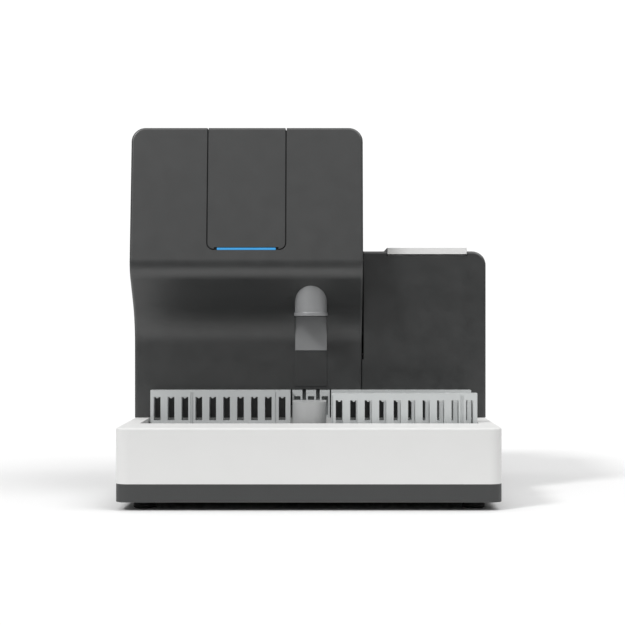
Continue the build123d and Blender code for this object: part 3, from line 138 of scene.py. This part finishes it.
# %% The finishes
finishes = {
    "grey_plastic": finish(
        "grained_graphite_abs", ("#2E2F2F", "#323333"), (0.34, 0.42), 0.9, 0.16, ior=1.52,
        shine=0.95),
    "cover_plastic": finish(
        "grained_graphite_abs_cover", ("#2E2F2F", "#323333"), (0.34, 0.42), 0.9, 0.16, ior=1.52,
        shine=0.95),
    "white_plastic": finish(
        "satin_white_abs", ("#D8D8D7", "#DCDCDB"), (0.52, 0.60), 1.2, 0.08, ior=1.52,
        shine=0.2),
    "lid_plastic": finish(
        "satin_white_abs_lid", ("#E8E8E7", "#ECECEB"), (0.48, 0.56), 1.2, 0.08, ior=1.52,
        shine=0.25),
    "plinth_plastic": finish(
        "grained_grey_abs_plinth", ("#373838", "#3B3C3C"), (0.46, 0.54), 0.9, 0.18, ior=1.52),
    "rack_plastic": finish(
        "natural_polypropylene", ("#C6C9C9", "#CED1D1"), (0.36, 0.46), 1.0, 0.10, 30.0, ior=1.49),
    "reader_plastic": finish(
        "light_grey_pc_abs", ("#AEAFAF", "#B4B5B5"), (0.36, 0.44), 0.9, 0.12, 40.0, ior=1.55),
    "tray_plastic": finish(
        "matte_dark_acetal", ("#2B2C2D", "#303132"), (0.48, 0.60), 0.8, 0.20, 40.0, ior=1.48),
    "black_rubber": finish(
        "black_nitrile_rubber", ("#0E0E0E", "#141414"), (0.70, 0.82), 0.7, 0.30, 20.0, ior=1.52),
    "black_plastic": finish(
        "black_nylon", ("#151516", "#1B1B1C"), (0.38, 0.50), 0.6, 0.20, 20.0, ior=1.53),
    "motor_black": finish(
        "black_powder_coat", ("#121213", "#18181A"), (0.50, 0.62), 0.5, 0.35, 20.0, ior=1.5),
    "board_green": finish(
        "green_solder_mask", ("#0B4A2B", "#0F5733"), (0.24, 0.34), 0.6, 0.12, 15.0, ior=1.55),
    "silver_paint": finish(
        "silver_flake_paint", ("#9A9B9C", "#A4A5A6"), (0.38, 0.48), 0.5, 0.12, 25.0,
        metallic=0.35, coat=0.2),
    "aluminium_part": finish(
        "clear_anodised_aluminium", ("#B3B5B8", "#BDBFC2"), (0.34, 0.46), 0.4, 0.20, 25.0,
        metallic=1.0),
    "steel_sheet": finish(
        "zinc_plated_sheet_steel", ("#9A9DA0", "#AEB0B2"), (0.30, 0.48), 0.9, 0.12, 14.0,
        metallic=1.0),
    "polished_steel": finish(
        "ground_stainless_steel", ("#BFC0C1", "#CBCCCD"), (0.14, 0.22), 0.3, 0.10, 12.0,
        metallic=1.0),
    "reader_glass": finish(
        "smoked_acrylic", ("#0B0C0E", "#101114"), (0.06, 0.12), 1.5, 0.03, 30.0, ior=1.49),
    "light_blue": finish(
        "lit_opal_polycarbonate", ("#2F80B4", "#3988BC"), (0.30, 0.38), 0.8, 0.05, 20.0, ior=1.58),
}
print("finishes:", ", ".join(sorted(finishes)))

# %% [markdown]
# The status bar is opal polycarbonate with diodes behind it. Its light is set on the
# shader's own emission sockets, so it looks lit in any light and lights its seam a little.

# %% The lit bar
lit = finishes["light_blue"].node_tree.nodes["Principled BSDF"]
lit.inputs["Emission Color"].default_value = linear("#2E8FCC")
lit.inputs["Emission Strength"].default_value = 0.5
print("status bar lit")

# %% [markdown]
# ## Finishing a moulded piece
# A real moulding has no perfectly sharp edge: the tool leaves a radius of a few tenths, and
# that radius is what catches the light. The solids have sharp edges, so a copy is merged,
# its flat faces are joined, its folded edges are bevelled, and its normals are weighted by
# face area so that wide faces stay flat next to the small rounds. A wide face with holes in
# it can fold over when its edges are bevelled, so it is split into small faces first.

# %% Copy, merge, bevel
same_place = 0.002 * MM          # corners closer than this are one corner
flat_angle = math.radians(0.4)   # faces that differ by less lie in one plane
crease_angle = math.radians(48)  # steeper edges stay sharp in the shading


def mesh_piece(name, mesh, node):
    """Hangs a finished mesh in the scene in place of a solid, on that solid's body."""
    piece = bpy.data.objects.new(name, mesh)
    bpy.context.scene.collection.objects.link(piece)
    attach(piece, body_of[node])
    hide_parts(node)
    return piece


def applied(name, mesh, modifiers):
    """The mesh after a list of modifiers, each a (kind, settings) pair, as plain mesh data."""
    holder = bpy.data.objects.new(name + "_work", mesh)
    bpy.context.scene.collection.objects.link(holder)
    for kind, settings in modifiers:
        modifier = holder.modifiers.new(kind, kind)
        for key, value in settings.items():
            setattr(modifier, key, value)
    bpy.context.view_layer.update()
    graph = bpy.context.evaluated_depsgraph_get()
    result = bpy.data.meshes.new_from_object(holder.evaluated_get(graph))
    result.name = name
    bpy.data.objects.remove(holder)
    return result


def split_up(form):
    """Splits every face that has more than four corners."""
    bmesh.ops.triangulate(form, faces=[face for face in form.faces if len(face.verts) > 4])
    return form


def merged(node, join=True, split=True):
    """A bmesh of a solid: corners merged, flat faces joined, and large faces split cleanly."""
    form = bmesh.new()
    form.from_mesh(frame["nodes"][node].data)
    bmesh.ops.remove_doubles(form, verts=form.verts, dist=same_place)
    if join:
        bmesh.ops.dissolve_limit(
            form, angle_limit=flat_angle, verts=form.verts, edges=form.edges)
    return split_up(form) if join and split else form


def softened(name, form, width, steps=2, sharp=32.0, keep=None):
    """A mesh from a bmesh, its edges rounded by width in mm, except where keep says so."""
    weight = form.edges.layers.float.new("bevel_weight_edge")
    for edge in form.edges:
        folded = len(edge.link_faces) == 2 and edge.calc_face_angle(0.0) > math.radians(sharp)
        kept = keep is not None and all(keep(vert.co) for vert in edge.verts)
        edge[weight] = 1.0 if folded and not kept else 0.0
    mesh = bpy.data.meshes.new(name)
    form.to_mesh(mesh)
    form.free()
    rounds = ("BEVEL", {
        "width": width * MM, "segments": steps, "limit_method": "WEIGHT",
        "use_clamp_overlap": True, "miter_outer": "MITER_ARC"})
    mesh = applied(name, mesh, [rounds])
    mesh.shade_smooth()
    mesh.set_sharp_from_angle(angle=crease_angle)
    return applied(name, mesh, [("WEIGHTED_NORMAL", {"keep_sharp": True, "weight": 90})])


print("moulding helpers ready")

# %% [markdown]
# ## Every solid gets its finish
# The solids that stay as they are, which is most of what is inside, take their finish first.
# The outside pieces get the same finishes on softened copies in the cells below.

# %% Dress the solids
for node, solid in frame["nodes"].items():
    solid.data.materials.clear()
    solid.data.materials.append(finishes[slot_of[node]])
print("dressed", len(frame["nodes"]), "solids")

# %% [markdown]
# ## The outside mouldings
# These are the pieces that a person sees and touches. The numbers are the radius in
# millimetres that each mould leaves: large and friendly on the white base and the lid, tight
# on the dark shells, where the seams should read as thin dark lines.

# %% Softened copies
mould_radius = {
    "base_housing": 0.8, "plinth_pan": 0.7, "tower_shell": 0.45, "side_box_shell": 0.45,
    "access_cover": 0.45, "strip_lid": 0.9, "probe_hood": 0.7, "probe_plate": 0.6,
    "probe_column": 0.4, "reader_housing": 1.0, "tube_guide": 0.5, "rear_panel": 0.35,
    "light_bar": 0.5, "rack_tray": 0.15, "cover_frame": 0.25, "power_inlet": 0.3,
    "power_rocker": 0.5, "data_ports": 0.3, "strip_hopper": 0.3, "optical_head": 0.8,
    "lift_bracket": 0.3, "probe_arm": 0.6, "probe_carriage": 0.6, "gantry_plate": 0.4,
    "waste_bin": 0.6, "strip_rails": 0.4, "strip_pusher": 0.4, "lift_motor": 0.6,
    "travel_motor": 0.6, "reader_window": 0.2, "fluid_ports": 0.3, "fan_frame": 0.4,
}
# Solids that bevel cleanly only with their own triangles, or only with whole flat faces.
as_cut = ("base_housing", "rear_panel", "probe_hood", "fluid_ports", "gantry_plate")
whole_faces = ("tower_shell", "access_cover", "strip_hopper")
join_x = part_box("side_box_shell")[0].x
slit_bottom = 193 * MM


def at_join(place):
    """True on the line where the two dark shells meet, below the slit."""
    return abs(place.x - join_x) < 1.5 * MM and place.z < slit_bottom + 1 * MM


for node, width in mould_radius.items():
    keep = at_join if node in ("tower_shell", "side_box_shell") else None
    form = merged(node, node not in as_cut, node not in whole_faces)
    if node == "tower_shell":
        bmesh.ops.bisect_plane(
            form, geom=form.verts[:] + form.edges[:] + form.faces[:], dist=1e-6,
            plane_co=(0.0, 0.0, slit_bottom), plane_no=(0.0, 0.0, 1.0))
    mesh = softened(node + "_moulded", form, width, keep=keep)
    mesh.materials.clear()
    mesh.materials.append(finishes[slot_of[node]])
    piece = mesh_piece(node + "_moulded", mesh, node)
    print(piece.name, len(mesh.polygons), "faces")

# %% [markdown]
# ## Tube racks
# A rack is one moulding with a row of identical places: a round well for the tube, a window
# through both long walls so that a code can be read, and a small rounded tab over each
# window. A few thin grooves run down the front wall. It could be cut by hand ten times. A
# Geometry Nodes tree does it once: it lays a line of points at the place pitch, puts a
# cutter on each point, and takes them all from the block, so the pitch and the number of
# places stay numbers.

# %% A tree with named inputs


def new_tree(name, sockets):
    """A Geometry Nodes tree with named inputs, given as (name, type) pairs."""
    tree = bpy.data.node_groups.new(name, "GeometryNodeTree")
    tree.interface.new_socket("Geometry", in_out="INPUT", socket_type="NodeSocketGeometry")
    for label, kind in sockets:
        tree.interface.new_socket(label, in_out="INPUT", socket_type="NodeSocket" + kind)
    tree.interface.new_socket("Geometry", in_out="OUTPUT", socket_type="NodeSocketGeometry")
    return tree, add(tree, "NodeGroupInput").outputs


def close_tree(tree, geometry, material):
    """Ends a tree in Realize Instances and Set Material."""
    real = add(tree, "GeometryNodeRealizeInstances", {"Geometry": geometry})
    skin = add(tree, "GeometryNodeSetMaterial", {
        "Geometry": real.outputs["Geometry"], "Material": material})
    add(tree, "NodeGroupOutput", {"Geometry": skin.outputs["Geometry"]})


def grown(name, tree, values, source=None):
    """The plain mesh that a tree makes from its named values."""
    holder = bpy.data.objects.new(name + "_tree", source or bpy.data.meshes.new(name + "_seed"))
    bpy.context.scene.collection.objects.link(holder)
    modifier = holder.modifiers.new("tree", "NODES")
    modifier.node_group = tree
    for item in tree.interface.items_tree:
        if item.in_out == "INPUT" and item.name in values:
            modifier[item.identifier] = values[item.name]
    holder.update_tag()
    bpy.context.view_layer.update()
    graph = bpy.context.evaluated_depsgraph_get()
    mesh = bpy.data.meshes.new_from_object(holder.evaluated_get(graph))
    mesh.name = name
    bpy.data.objects.remove(holder)
    return mesh


def combine(tree, x=0.0, y=0.0, z=0.0):
    """A vector from three numbers or outputs."""
    return add(tree, "ShaderNodeCombineXYZ", {"X": x, "Y": y, "Z": z}).outputs["Vector"]


def sums(tree, operation, a, b):
    """One math node's result."""
    return add(tree, "ShaderNodeMath", {0: a, 1: b}, operation=operation).outputs[0]


def moved(tree, geometry, place, turn=(0.0, 0.0, 0.0)):
    """A geometry moved, and turned about its own origin first."""
    return add(tree, "GeometryNodeTransform", {
        "Geometry": geometry, "Translation": place, "Rotation": turn}).outputs["Geometry"]


print("tree helpers ready")

# %% The rack tree
rack_tree, given = new_tree("rack_places", [
    ("Length", "Float"), ("Width", "Float"), ("Height", "Float"), ("Places", "Int"),
    ("Pitch", "Float"), ("First place", "Float"), ("Well radius", "Float"),
    ("Well floor", "Float"), ("Window width", "Float"), ("Window bottom", "Float"),
    ("Window height", "Float"), ("Tab radius", "Float"), ("Notch width", "Float"),
    ("Notch height", "Float"), ("Line width", "Float"), ("Line pitch", "Float"),
    ("Line one", "Float"), ("Line two", "Float"), ("Window shift", "Float"),
    ("Corner", "Vector"), ("Material", "Material")])
half_width = sums(rack_tree, "MULTIPLY", given["Width"], 0.5)
half_length = sums(rack_tree, "MULTIPLY", given["Length"], 0.5)
half_height = sums(rack_tree, "MULTIPLY", given["Height"], 0.5)
block = add(rack_tree, "GeometryNodeMeshCube", {
    "Size": combine(rack_tree, given["Length"], given["Width"], given["Height"])})
block = moved(rack_tree, block.outputs["Mesh"],
              combine(rack_tree, half_length, half_width, half_height))
line = add(rack_tree, "GeometryNodeMeshLine", {
    "Count": given["Places"],
    "Start Location": combine(rack_tree, given["First place"], half_width),
    "Offset": combine(rack_tree, given["Pitch"])}).outputs["Mesh"]


def on_line(shape):
    """A shape on every point of the line, as real mesh."""
    copies = add(rack_tree, "GeometryNodeInstanceOnPoints", {"Points": line, "Instance": shape})
    return add(rack_tree, "GeometryNodeRealizeInstances", {
        "Geometry": copies.outputs["Instances"]}).outputs["Geometry"]


well = add(rack_tree, "GeometryNodeMeshCylinder", {
    "Vertices": 40, "Radius": given["Well radius"], "Depth": given["Height"]})
well = on_line(moved(rack_tree, well.outputs["Mesh"], combine(
    rack_tree, z=sums(rack_tree, "ADD", given["Well floor"], half_height))))
window = add(rack_tree, "GeometryNodeMeshCube", {
    "Size": combine(rack_tree, given["Window width"],
                    sums(rack_tree, "MULTIPLY", given["Width"], 1.4), given["Window height"])})
window_middle = sums(rack_tree, "ADD", given["Window bottom"],
                     sums(rack_tree, "MULTIPLY", given["Window height"], 0.5))
window = on_line(moved(rack_tree, window.outputs["Mesh"], combine(
    rack_tree, x=given["Window shift"], z=window_middle)))
notch = add(rack_tree, "GeometryNodeMeshCube", {
    "Size": combine(rack_tree, given["Notch width"],
                    sums(rack_tree, "MULTIPLY", given["Width"], 1.4),
                    sums(rack_tree, "MULTIPLY", given["Notch height"], 2.0))})
notch = moved(rack_tree, notch.outputs["Mesh"], combine(rack_tree, half_length, half_width))
groove_depth = 1.2 * MM
groove_stop = 3 * MM             # the grooves end this far below the top
lines = []
for label, count in (("Line one", 1), ("Line two", 2)):
    groove = add(rack_tree, "GeometryNodeMeshCube", {
        "Size": combine(rack_tree, given["Line width"], 2 * groove_depth, given["Height"])})
    spots = add(rack_tree, "GeometryNodeMeshLine", {
        "Count": count, "Offset": combine(rack_tree, given["Line pitch"]),
        "Start Location": combine(rack_tree, given[label], 0.0, sums(
            rack_tree, "SUBTRACT", half_height, groove_stop))})
    copies = add(rack_tree, "GeometryNodeInstanceOnPoints", {
        "Points": spots.outputs["Mesh"], "Instance": groove.outputs["Mesh"]})
    lines.append(add(rack_tree, "GeometryNodeRealizeInstances", {
        "Geometry": copies.outputs["Instances"]}).outputs["Geometry"])
cut = add(rack_tree, "GeometryNodeMeshBoolean", {"Mesh 1": block}, operation="DIFFERENCE")
for cutter in (well, window, notch, *lines):
    rack_tree.links.new(cutter, cut.inputs["Mesh 2"])
print("rack tree cuts wells, windows, the notch and the grooves")

# %% [markdown]
# The tabs are short round pins across the wall, half sunk in the band over each window. They
# stand a little over the window's top edge, because faces that touch exactly confuse a
# union. The union joins them to the rack, so the finished mesh is still one closed skin.

# %% Tabs, and the end of the tree
tab_depth = 1.6 * MM
tab_inset = 0.3 * MM             # from the wall's outer face
tab_rise = 0.25 * MM             # over the window's top edge
tab_z = sums(rack_tree, "ADD", sums(
    rack_tree, "ADD", given["Window bottom"], given["Window height"]), tab_rise)
whole = add(rack_tree, "GeometryNodeMeshBoolean", operation="UNION")
rack_tree.links.new(cut.outputs["Mesh"], whole.inputs["Mesh 2"])
for side in (-1, 1):
    tab = add(rack_tree, "GeometryNodeMeshCylinder", {
        "Vertices": 24, "Radius": given["Tab radius"], "Depth": tab_depth})
    tab_y = sums(rack_tree, "MULTIPLY", sums(
        rack_tree, "SUBTRACT", half_width, tab_inset + tab_depth / 2), float(side))
    tab = on_line(moved(
        rack_tree, tab.outputs["Mesh"], combine(rack_tree, given["Window shift"], tab_y, tab_z),
        (math.pi / 2, 0.0, 0.0)))
    rack_tree.links.new(tab, whole.inputs["Mesh 2"])
close_tree(rack_tree, moved(rack_tree, whole.outputs["Mesh"], given["Corner"]), given["Material"])

rack_sizes = {
    "Places": 10, "Pitch": 20 * MM, "First place": 10.75 * MM, "Well radius": 8.3 * MM,
    "Well floor": 7 * MM, "Window width": 9.8 * MM, "Window bottom": 26.2 * MM,
    "Window height": 33.7 * MM, "Tab radius": 2.3 * MM, "Notch width": 8 * MM,
    "Notch height": 5 * MM, "Line width": 0.9 * MM, "Line pitch": 2.6 * MM}
# Millimetres along each rack: one groove, and the first of a pair. Read one by one.
line_places = {
    "left_rack": (180.2, 58.4), "right_front_rack": (1.6, 179.0), "right_rear_rack": (1.6, 58.4)}
left_window_shift = -1.1 * MM    # the left rack's windows stand off centre
for node in ("left_rack", "right_front_rack", "right_rear_rack"):
    low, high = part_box(node)
    size = high - low
    mesh = grown(node + "_cut", rack_tree, {
        **rack_sizes, "Length": size.x, "Width": size.y, "Height": size.z,
        "Line one": line_places[node][0] * MM, "Line two": line_places[node][1] * MM,
        "Window shift": left_window_shift if node == "left_rack" else 0.0,
        "Corner": tuple(low), "Material": finishes[slot_of[node]]})
    form = bmesh.new()
    form.from_mesh(mesh)
    bmesh.ops.remove_doubles(form, verts=form.verts, dist=1e-6)
    bmesh.ops.dissolve_degenerate(form, edges=form.edges, dist=1e-6)
    open_edges = sum(not edge.is_manifold for edge in form.edges)
    mesh = softened(node + "_moulded", split_up(form), 0.22, steps=2, sharp=50.0)
    mesh.materials.clear()
    mesh.materials.append(finishes[slot_of[node]])
    mesh_piece(node + "_moulded", mesh, node)
    print(node, len(mesh.polygons), "faces,", open_edges, "open edges before the rounds")

# %% [markdown]
# ## Copies on points
# Feet and screws repeat at places that the solids already mark. The loose parts of a solid
# give the points, and a small tree sets one finished shape on each of them.

# %% Where the loose parts are


def islands(node):
    """The boxes of a solid's loose parts, as (low, high) pairs."""
    form = merged(node)
    left = set(form.verts)
    found = []
    while left:
        stack = [left.pop()]
        part = []
        while stack:
            vert = stack.pop()
            part.append(vert.co.copy())
            for edge in vert.link_edges:
                other = edge.other_vert(vert)
                if other in left:
                    left.discard(other)
                    stack.append(other)
        found.append(tuple(
            Vector([pick(co[i] for co in part) for i in range(3)]) for pick in (min, max)))
    form.free()
    return sorted(found, key=lambda pair: tuple(pair[0]))


copies_tree, wanted = new_tree("copies_on_points", [
    ("Shape", "Object"), ("Material", "Material")])
shape = add(copies_tree, "GeometryNodeObjectInfo", {"Object": wanted["Shape"]})
copies = add(copies_tree, "GeometryNodeInstanceOnPoints", {
    "Points": wanted["Geometry"], "Instance": shape.outputs["Geometry"]})
close_tree(copies_tree, copies.outputs["Instances"], wanted["Material"])


def on_points(name, form, points, material):
    """A mesh with one copy of a bmesh on each point."""
    mesh = bpy.data.meshes.new(name + "_one")
    form.to_mesh(mesh)
    form.free()
    one = bpy.data.objects.new(name + "_one", mesh)
    bpy.context.scene.collection.objects.link(one)
    seed = bpy.data.meshes.new(name + "_points")
    seed.from_pydata([tuple(point) for point in points], [], [])
    made = grown(name, copies_tree, {"Shape": one, "Material": material}, seed)
    bpy.data.objects.remove(one)
    return made


print("rubber feet:", len(islands("rubber_feet")), " screws:", len(islands("rear_screws")))

# %% [markdown]
# ## Feet
# A bench foot is a turned form: a disc of rubber with a rounded tread and a groove or two, so
# that it grips and damps. A half profile is spun round its own axis.

# %% Spin a foot


def spun(profile, axis=(0, 0, 1), steps=48):
    """A closed solid of revolution from (radius, height) points, about an axis at the origin."""
    form = bmesh.new()
    verts = [form.verts.new((r, 0.0, h)) for r, h in profile]
    edges = [form.edges.new(pair) for pair in zip(verts, verts[1:])]
    bmesh.ops.spin(
        form, geom=verts + edges, cent=(0, 0, 0), axis=(0, 0, 1),
        angle=math.tau, steps=steps, use_merge=True)
    bmesh.ops.remove_doubles(form, verts=form.verts, dist=1e-6)
    bmesh.ops.recalc_face_normals(form, faces=form.faces)
    turn = Vector((0, 0, 1)).rotation_difference(Vector(axis)).to_matrix()
    bmesh.ops.transform(form, matrix=turn.to_4x4(), verts=form.verts)
    return form


foot_low, foot_high = islands("rubber_feet")[0]
foot_r = (foot_high.x - foot_low.x) / 2
foot_h = foot_high.z - foot_low.z
foot = spun([
    (0.0, 0.0), (foot_r * 0.55, 0.0), (foot_r * 0.60, 0.0006), (foot_r * 0.72, 0.0006),
    (foot_r * 0.77, 0.0), (foot_r * 0.86, 0.0), (foot_r * 0.95, 0.0007), (foot_r, 0.0022),
    (foot_r, foot_h * 0.45), (foot_r * 0.94, foot_h * 0.50), (foot_r * 0.94, foot_h * 0.60),
    (foot_r, foot_h * 0.65), (foot_r, foot_h - 0.0006), (foot_r * 0.96, foot_h), (0.0, foot_h)])
places = [
    Vector(((lo.x + hi.x) / 2, (lo.y + hi.y) / 2, lo.z)) for lo, hi in islands("rubber_feet")]
mesh = on_points("rubber_feet_turned", foot, places, finishes["black_rubber"])
mesh.shade_smooth()
mesh.set_sharp_from_angle(angle=math.radians(35))
mesh_piece("rubber_feet_turned", mesh, "rubber_feet")
print("foot radius", round(foot_r / MM, 1), "mm, height", round(foot_h / MM, 1), "mm")

# %% [markdown]
# ## Panel screws
# The rear panel is held by sunk screws with a cross recess. Each head is a low turned form
# with a cross pressed in, and the same small tree sets them in their counterbores.

# %% Screw heads
screw_low, screw_high = islands("rear_screws")[0]
head_r = (screw_high.z - screw_low.z) / 2 * 0.98
head_h = screw_high.y - screw_low.y
head = spun([
    (0.0, 0.0), (head_r, 0.0), (head_r, head_h * 0.45), (head_r * 0.93, head_h * 0.78),
    (head_r * 0.70, head_h * 0.97), (0.0, head_h)], axis=(0, 1, 0), steps=28)
head_mesh = bpy.data.meshes.new("head")
head.to_mesh(head_mesh)
head.free()
cross = bmesh.new()
for arm in ((0.42, 0.13), (0.13, 0.42)):
    size = (2 * arm[0] * head_r, head_h * 1.2, 2 * arm[1] * head_r)
    bmesh.ops.create_cube(cross, size=1.0, matrix=Matrix.Translation(
        (0, head_h * 1.0, 0)) @ Matrix.Diagonal((*size, 1.0)))
cross_mesh = bpy.data.meshes.new("cross")
cross.to_mesh(cross_mesh)
cross.free()
cutter = bpy.data.objects.new("cross", cross_mesh)
bpy.context.scene.collection.objects.link(cutter)
head_mesh = applied("screw_head", head_mesh, [("BOOLEAN", {
    "operation": "DIFFERENCE", "object": cutter, "solver": "EXACT", "use_self": True})])
bpy.data.objects.remove(cutter)
head = bmesh.new()
head.from_mesh(head_mesh)
spots = [
    Vector(((lo.x + hi.x) / 2, lo.y, (lo.z + hi.z) / 2)) for lo, hi in islands("rear_screws")]
mesh = on_points("panel_screws", head, spots, finishes[slot_of["rear_screws"]])
mesh.shade_smooth()
mesh.set_sharp_from_angle(angle=math.radians(30))
mesh_piece("panel_screws", mesh, "rear_screws")
print(len(spots), "screws")

# %% [markdown]
# ## Lead screws
# The probe's drive is hidden, so it is assumed: two steep lead screws with four starts, whose
# thread rises 20 mm in one turn and so moves the probe quickly. A spiral curve with a round
# profile makes one start, and the tree turns four of them round a core.

# %% Threads
thread_tree, asked = new_tree("lead_screw", [
    ("Length", "Float"), ("Radius", "Float"), ("Lead", "Float"), ("Starts", "Int"),
    ("Turn", "Vector"), ("Foot", "Vector"), ("Material", "Material")])
ridge = 0.45 * MM
thread_play = 0.2 * MM           # so that the thread turns clear of its nuts
core_radius = sums(thread_tree, "SUBTRACT", asked["Radius"], 2 * ridge * 0.8)
spiral_radius = sums(thread_tree, "SUBTRACT", asked["Radius"], ridge)
run = sums(thread_tree, "SUBTRACT", asked["Length"], 4 * ridge)
spiral = add(thread_tree, "GeometryNodeCurveSpiral", {
    "Resolution": 20, "Rotations": sums(thread_tree, "DIVIDE", run, asked["Lead"]),
    "Start Radius": spiral_radius, "End Radius": spiral_radius, "Height": run})
tooth = add(thread_tree, "GeometryNodeCurvePrimitiveCircle", {"Resolution": 6, "Radius": ridge})
rib = add(thread_tree, "GeometryNodeCurveToMesh", {
    "Curve": spiral.outputs["Curve"], "Profile Curve": tooth.outputs["Curve"],
    "Fill Caps": True})
ring = add(thread_tree, "GeometryNodeMeshCircle", {
    "Vertices": asked["Starts"], "Radius": 0.0001})
index = add(thread_tree, "GeometryNodeInputIndex").outputs["Index"]
share = sums(thread_tree, "DIVIDE", sums(thread_tree, "MULTIPLY", index, math.tau), asked["Starts"])
starts = add(thread_tree, "GeometryNodeInstanceOnPoints", {
    "Points": ring.outputs["Mesh"],
    "Instance": moved(thread_tree, rib.outputs["Mesh"], (0.0, 0.0, 2 * ridge)),
    "Rotation": combine(thread_tree, z=share)})
core = add(thread_tree, "GeometryNodeMeshCylinder", {
    "Vertices": 32, "Radius": core_radius, "Depth": asked["Length"]})
core = moved(thread_tree, core.outputs["Mesh"], combine(
    thread_tree, z=sums(thread_tree, "MULTIPLY", asked["Length"], 0.5)))
joined = add(thread_tree, "GeometryNodeJoinGeometry")
for bit in (core, starts.outputs["Instances"]):
    thread_tree.links.new(bit, joined.inputs["Geometry"])
upright = moved(thread_tree, joined.outputs["Geometry"], asked["Foot"], asked["Turn"])
close_tree(thread_tree, upright, asked["Material"])
for node, axis, turn in (
        ("travel_screw", 1, (-math.pi / 2, 0.0, 0.0)), ("lift_screw", 2, (0.0, 0.0, 0.0))):
    low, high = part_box(node)
    base = (low + high) / 2
    base[axis] = low[axis]
    across = (axis + 1) % 3
    mesh = grown(node + "_threaded", thread_tree, {
        "Length": high[axis] - low[axis], "Radius": (high[across] - low[across]) / 2 - thread_play,
        "Lead": 20 * MM, "Starts": 4, "Turn": turn, "Foot": tuple(base),
        "Material": finishes["polished_steel"]})
    mesh.shade_smooth()
    mesh.set_sharp_from_angle(angle=math.radians(60))
    mesh_piece(node + "_threaded", mesh, node)
    print(node, len(mesh.polygons), "faces")

# %% [markdown]
# ## The studio
# The photograph is a plain packshot on white, with soft light from the upper left and a
# fill from the upper right, seen from the front at about half the height of the object. The
# camera is level, because the uprights stay parallel, and a small shift sets the frame. The
# sky is dim near the horizon, which keeps the dark lower panel dark, and the camera sees it
# as white.

# %% Floor, light and camera
floor_centre = (0.0, 0.45, 0.0)
floor_halves = (1.7, 1.3, 1.0, 1.0)
studio_white = finish(
    "studio_paper", ("#E6E6E6", "#EAEAEA"), (0.85, 0.95), 2.0, 0.02, drift=400.0)
ground = bmesh.new()
bmesh.ops.create_grid(
    ground, x_segments=2, y_segments=2, size=1.0,
    matrix=Matrix.Translation(floor_centre) @ Matrix.Diagonal(floor_halves))
ground_mesh = bpy.data.meshes.new("studio_floor")
ground.to_mesh(ground_mesh)
ground.free()
floor = bpy.data.objects.new("studio_floor", ground_mesh)
floor.data.materials.append(studio_white)
bpy.context.scene.collection.objects.link(floor)

world = bpy.data.worlds.new("studio_sky")
bpy.context.scene.world = world
world.use_nodes = True
sky = world.node_tree
for node in list(sky.nodes):
    sky.nodes.remove(node)
path = add(sky, "ShaderNodeLightPath")
compass = add(sky, "ShaderNodeTexCoord").outputs["Generated"]
up = add(sky, "ShaderNodeSeparateXYZ", {"Vector": compass}).outputs["Z"]
glow = add(sky, "ShaderNodeMapRange", {
    "Value": up, "From Min": 0.10, "From Max": 0.60, "To Min": 0.08, "To Max": 0.95})
room = add(sky, "ShaderNodeBackground", {
    "Color": linear("#FFFFFF"), "Strength": glow.outputs["Result"]})
seen = add(sky, "ShaderNodeBackground", {"Color": linear("#FFFFFF"), "Strength": 1.05})
both = add(sky, "ShaderNodeMixShader", {
    0: path.outputs["Is Camera Ray"], 1: room.outputs[0], 2: seen.outputs[0]})
add(sky, "ShaderNodeOutputWorld", {"Surface": both.outputs[0]})


def sun(name, towards, strength, softness):
    """A far, soft light that shines along a direction."""
    data = bpy.data.lights.new(name, "SUN")
    data.energy = strength
    data.angle = math.radians(softness)
    lamp = bpy.data.objects.new(name, data)
    lamp.rotation_euler = Vector(towards).to_track_quat("-Z", "Y").to_euler()
    bpy.context.scene.collection.objects.link(lamp)
    return lamp


sun("key_from_upper_left", (0.62, 0.64, -0.80), 1.4, 12)
sun("fill_from_upper_right", (-0.50, 0.25, -0.90), 0.80, 40)

lens = bpy.data.cameras.new("packshot")
lens.lens = 100.9
lens.sensor_width = 36.0
lens.shift_x = -0.02
lens.shift_y = 0.0056
camera = bpy.data.objects.new("packshot", lens)
camera.location = (0.0214, -2.6, 0.256)
camera.rotation_euler = (math.pi / 2, 0.0, 0.0)
bpy.context.scene.collection.objects.link(camera)
bpy.context.scene.camera = camera
bpy.context.scene.view_settings.view_transform = "Standard"
print("camera stands", round(-camera.location.y, 2), "m in front of the middle")

# %% [markdown]
# ## The end

# %% The end
print("scene ready")
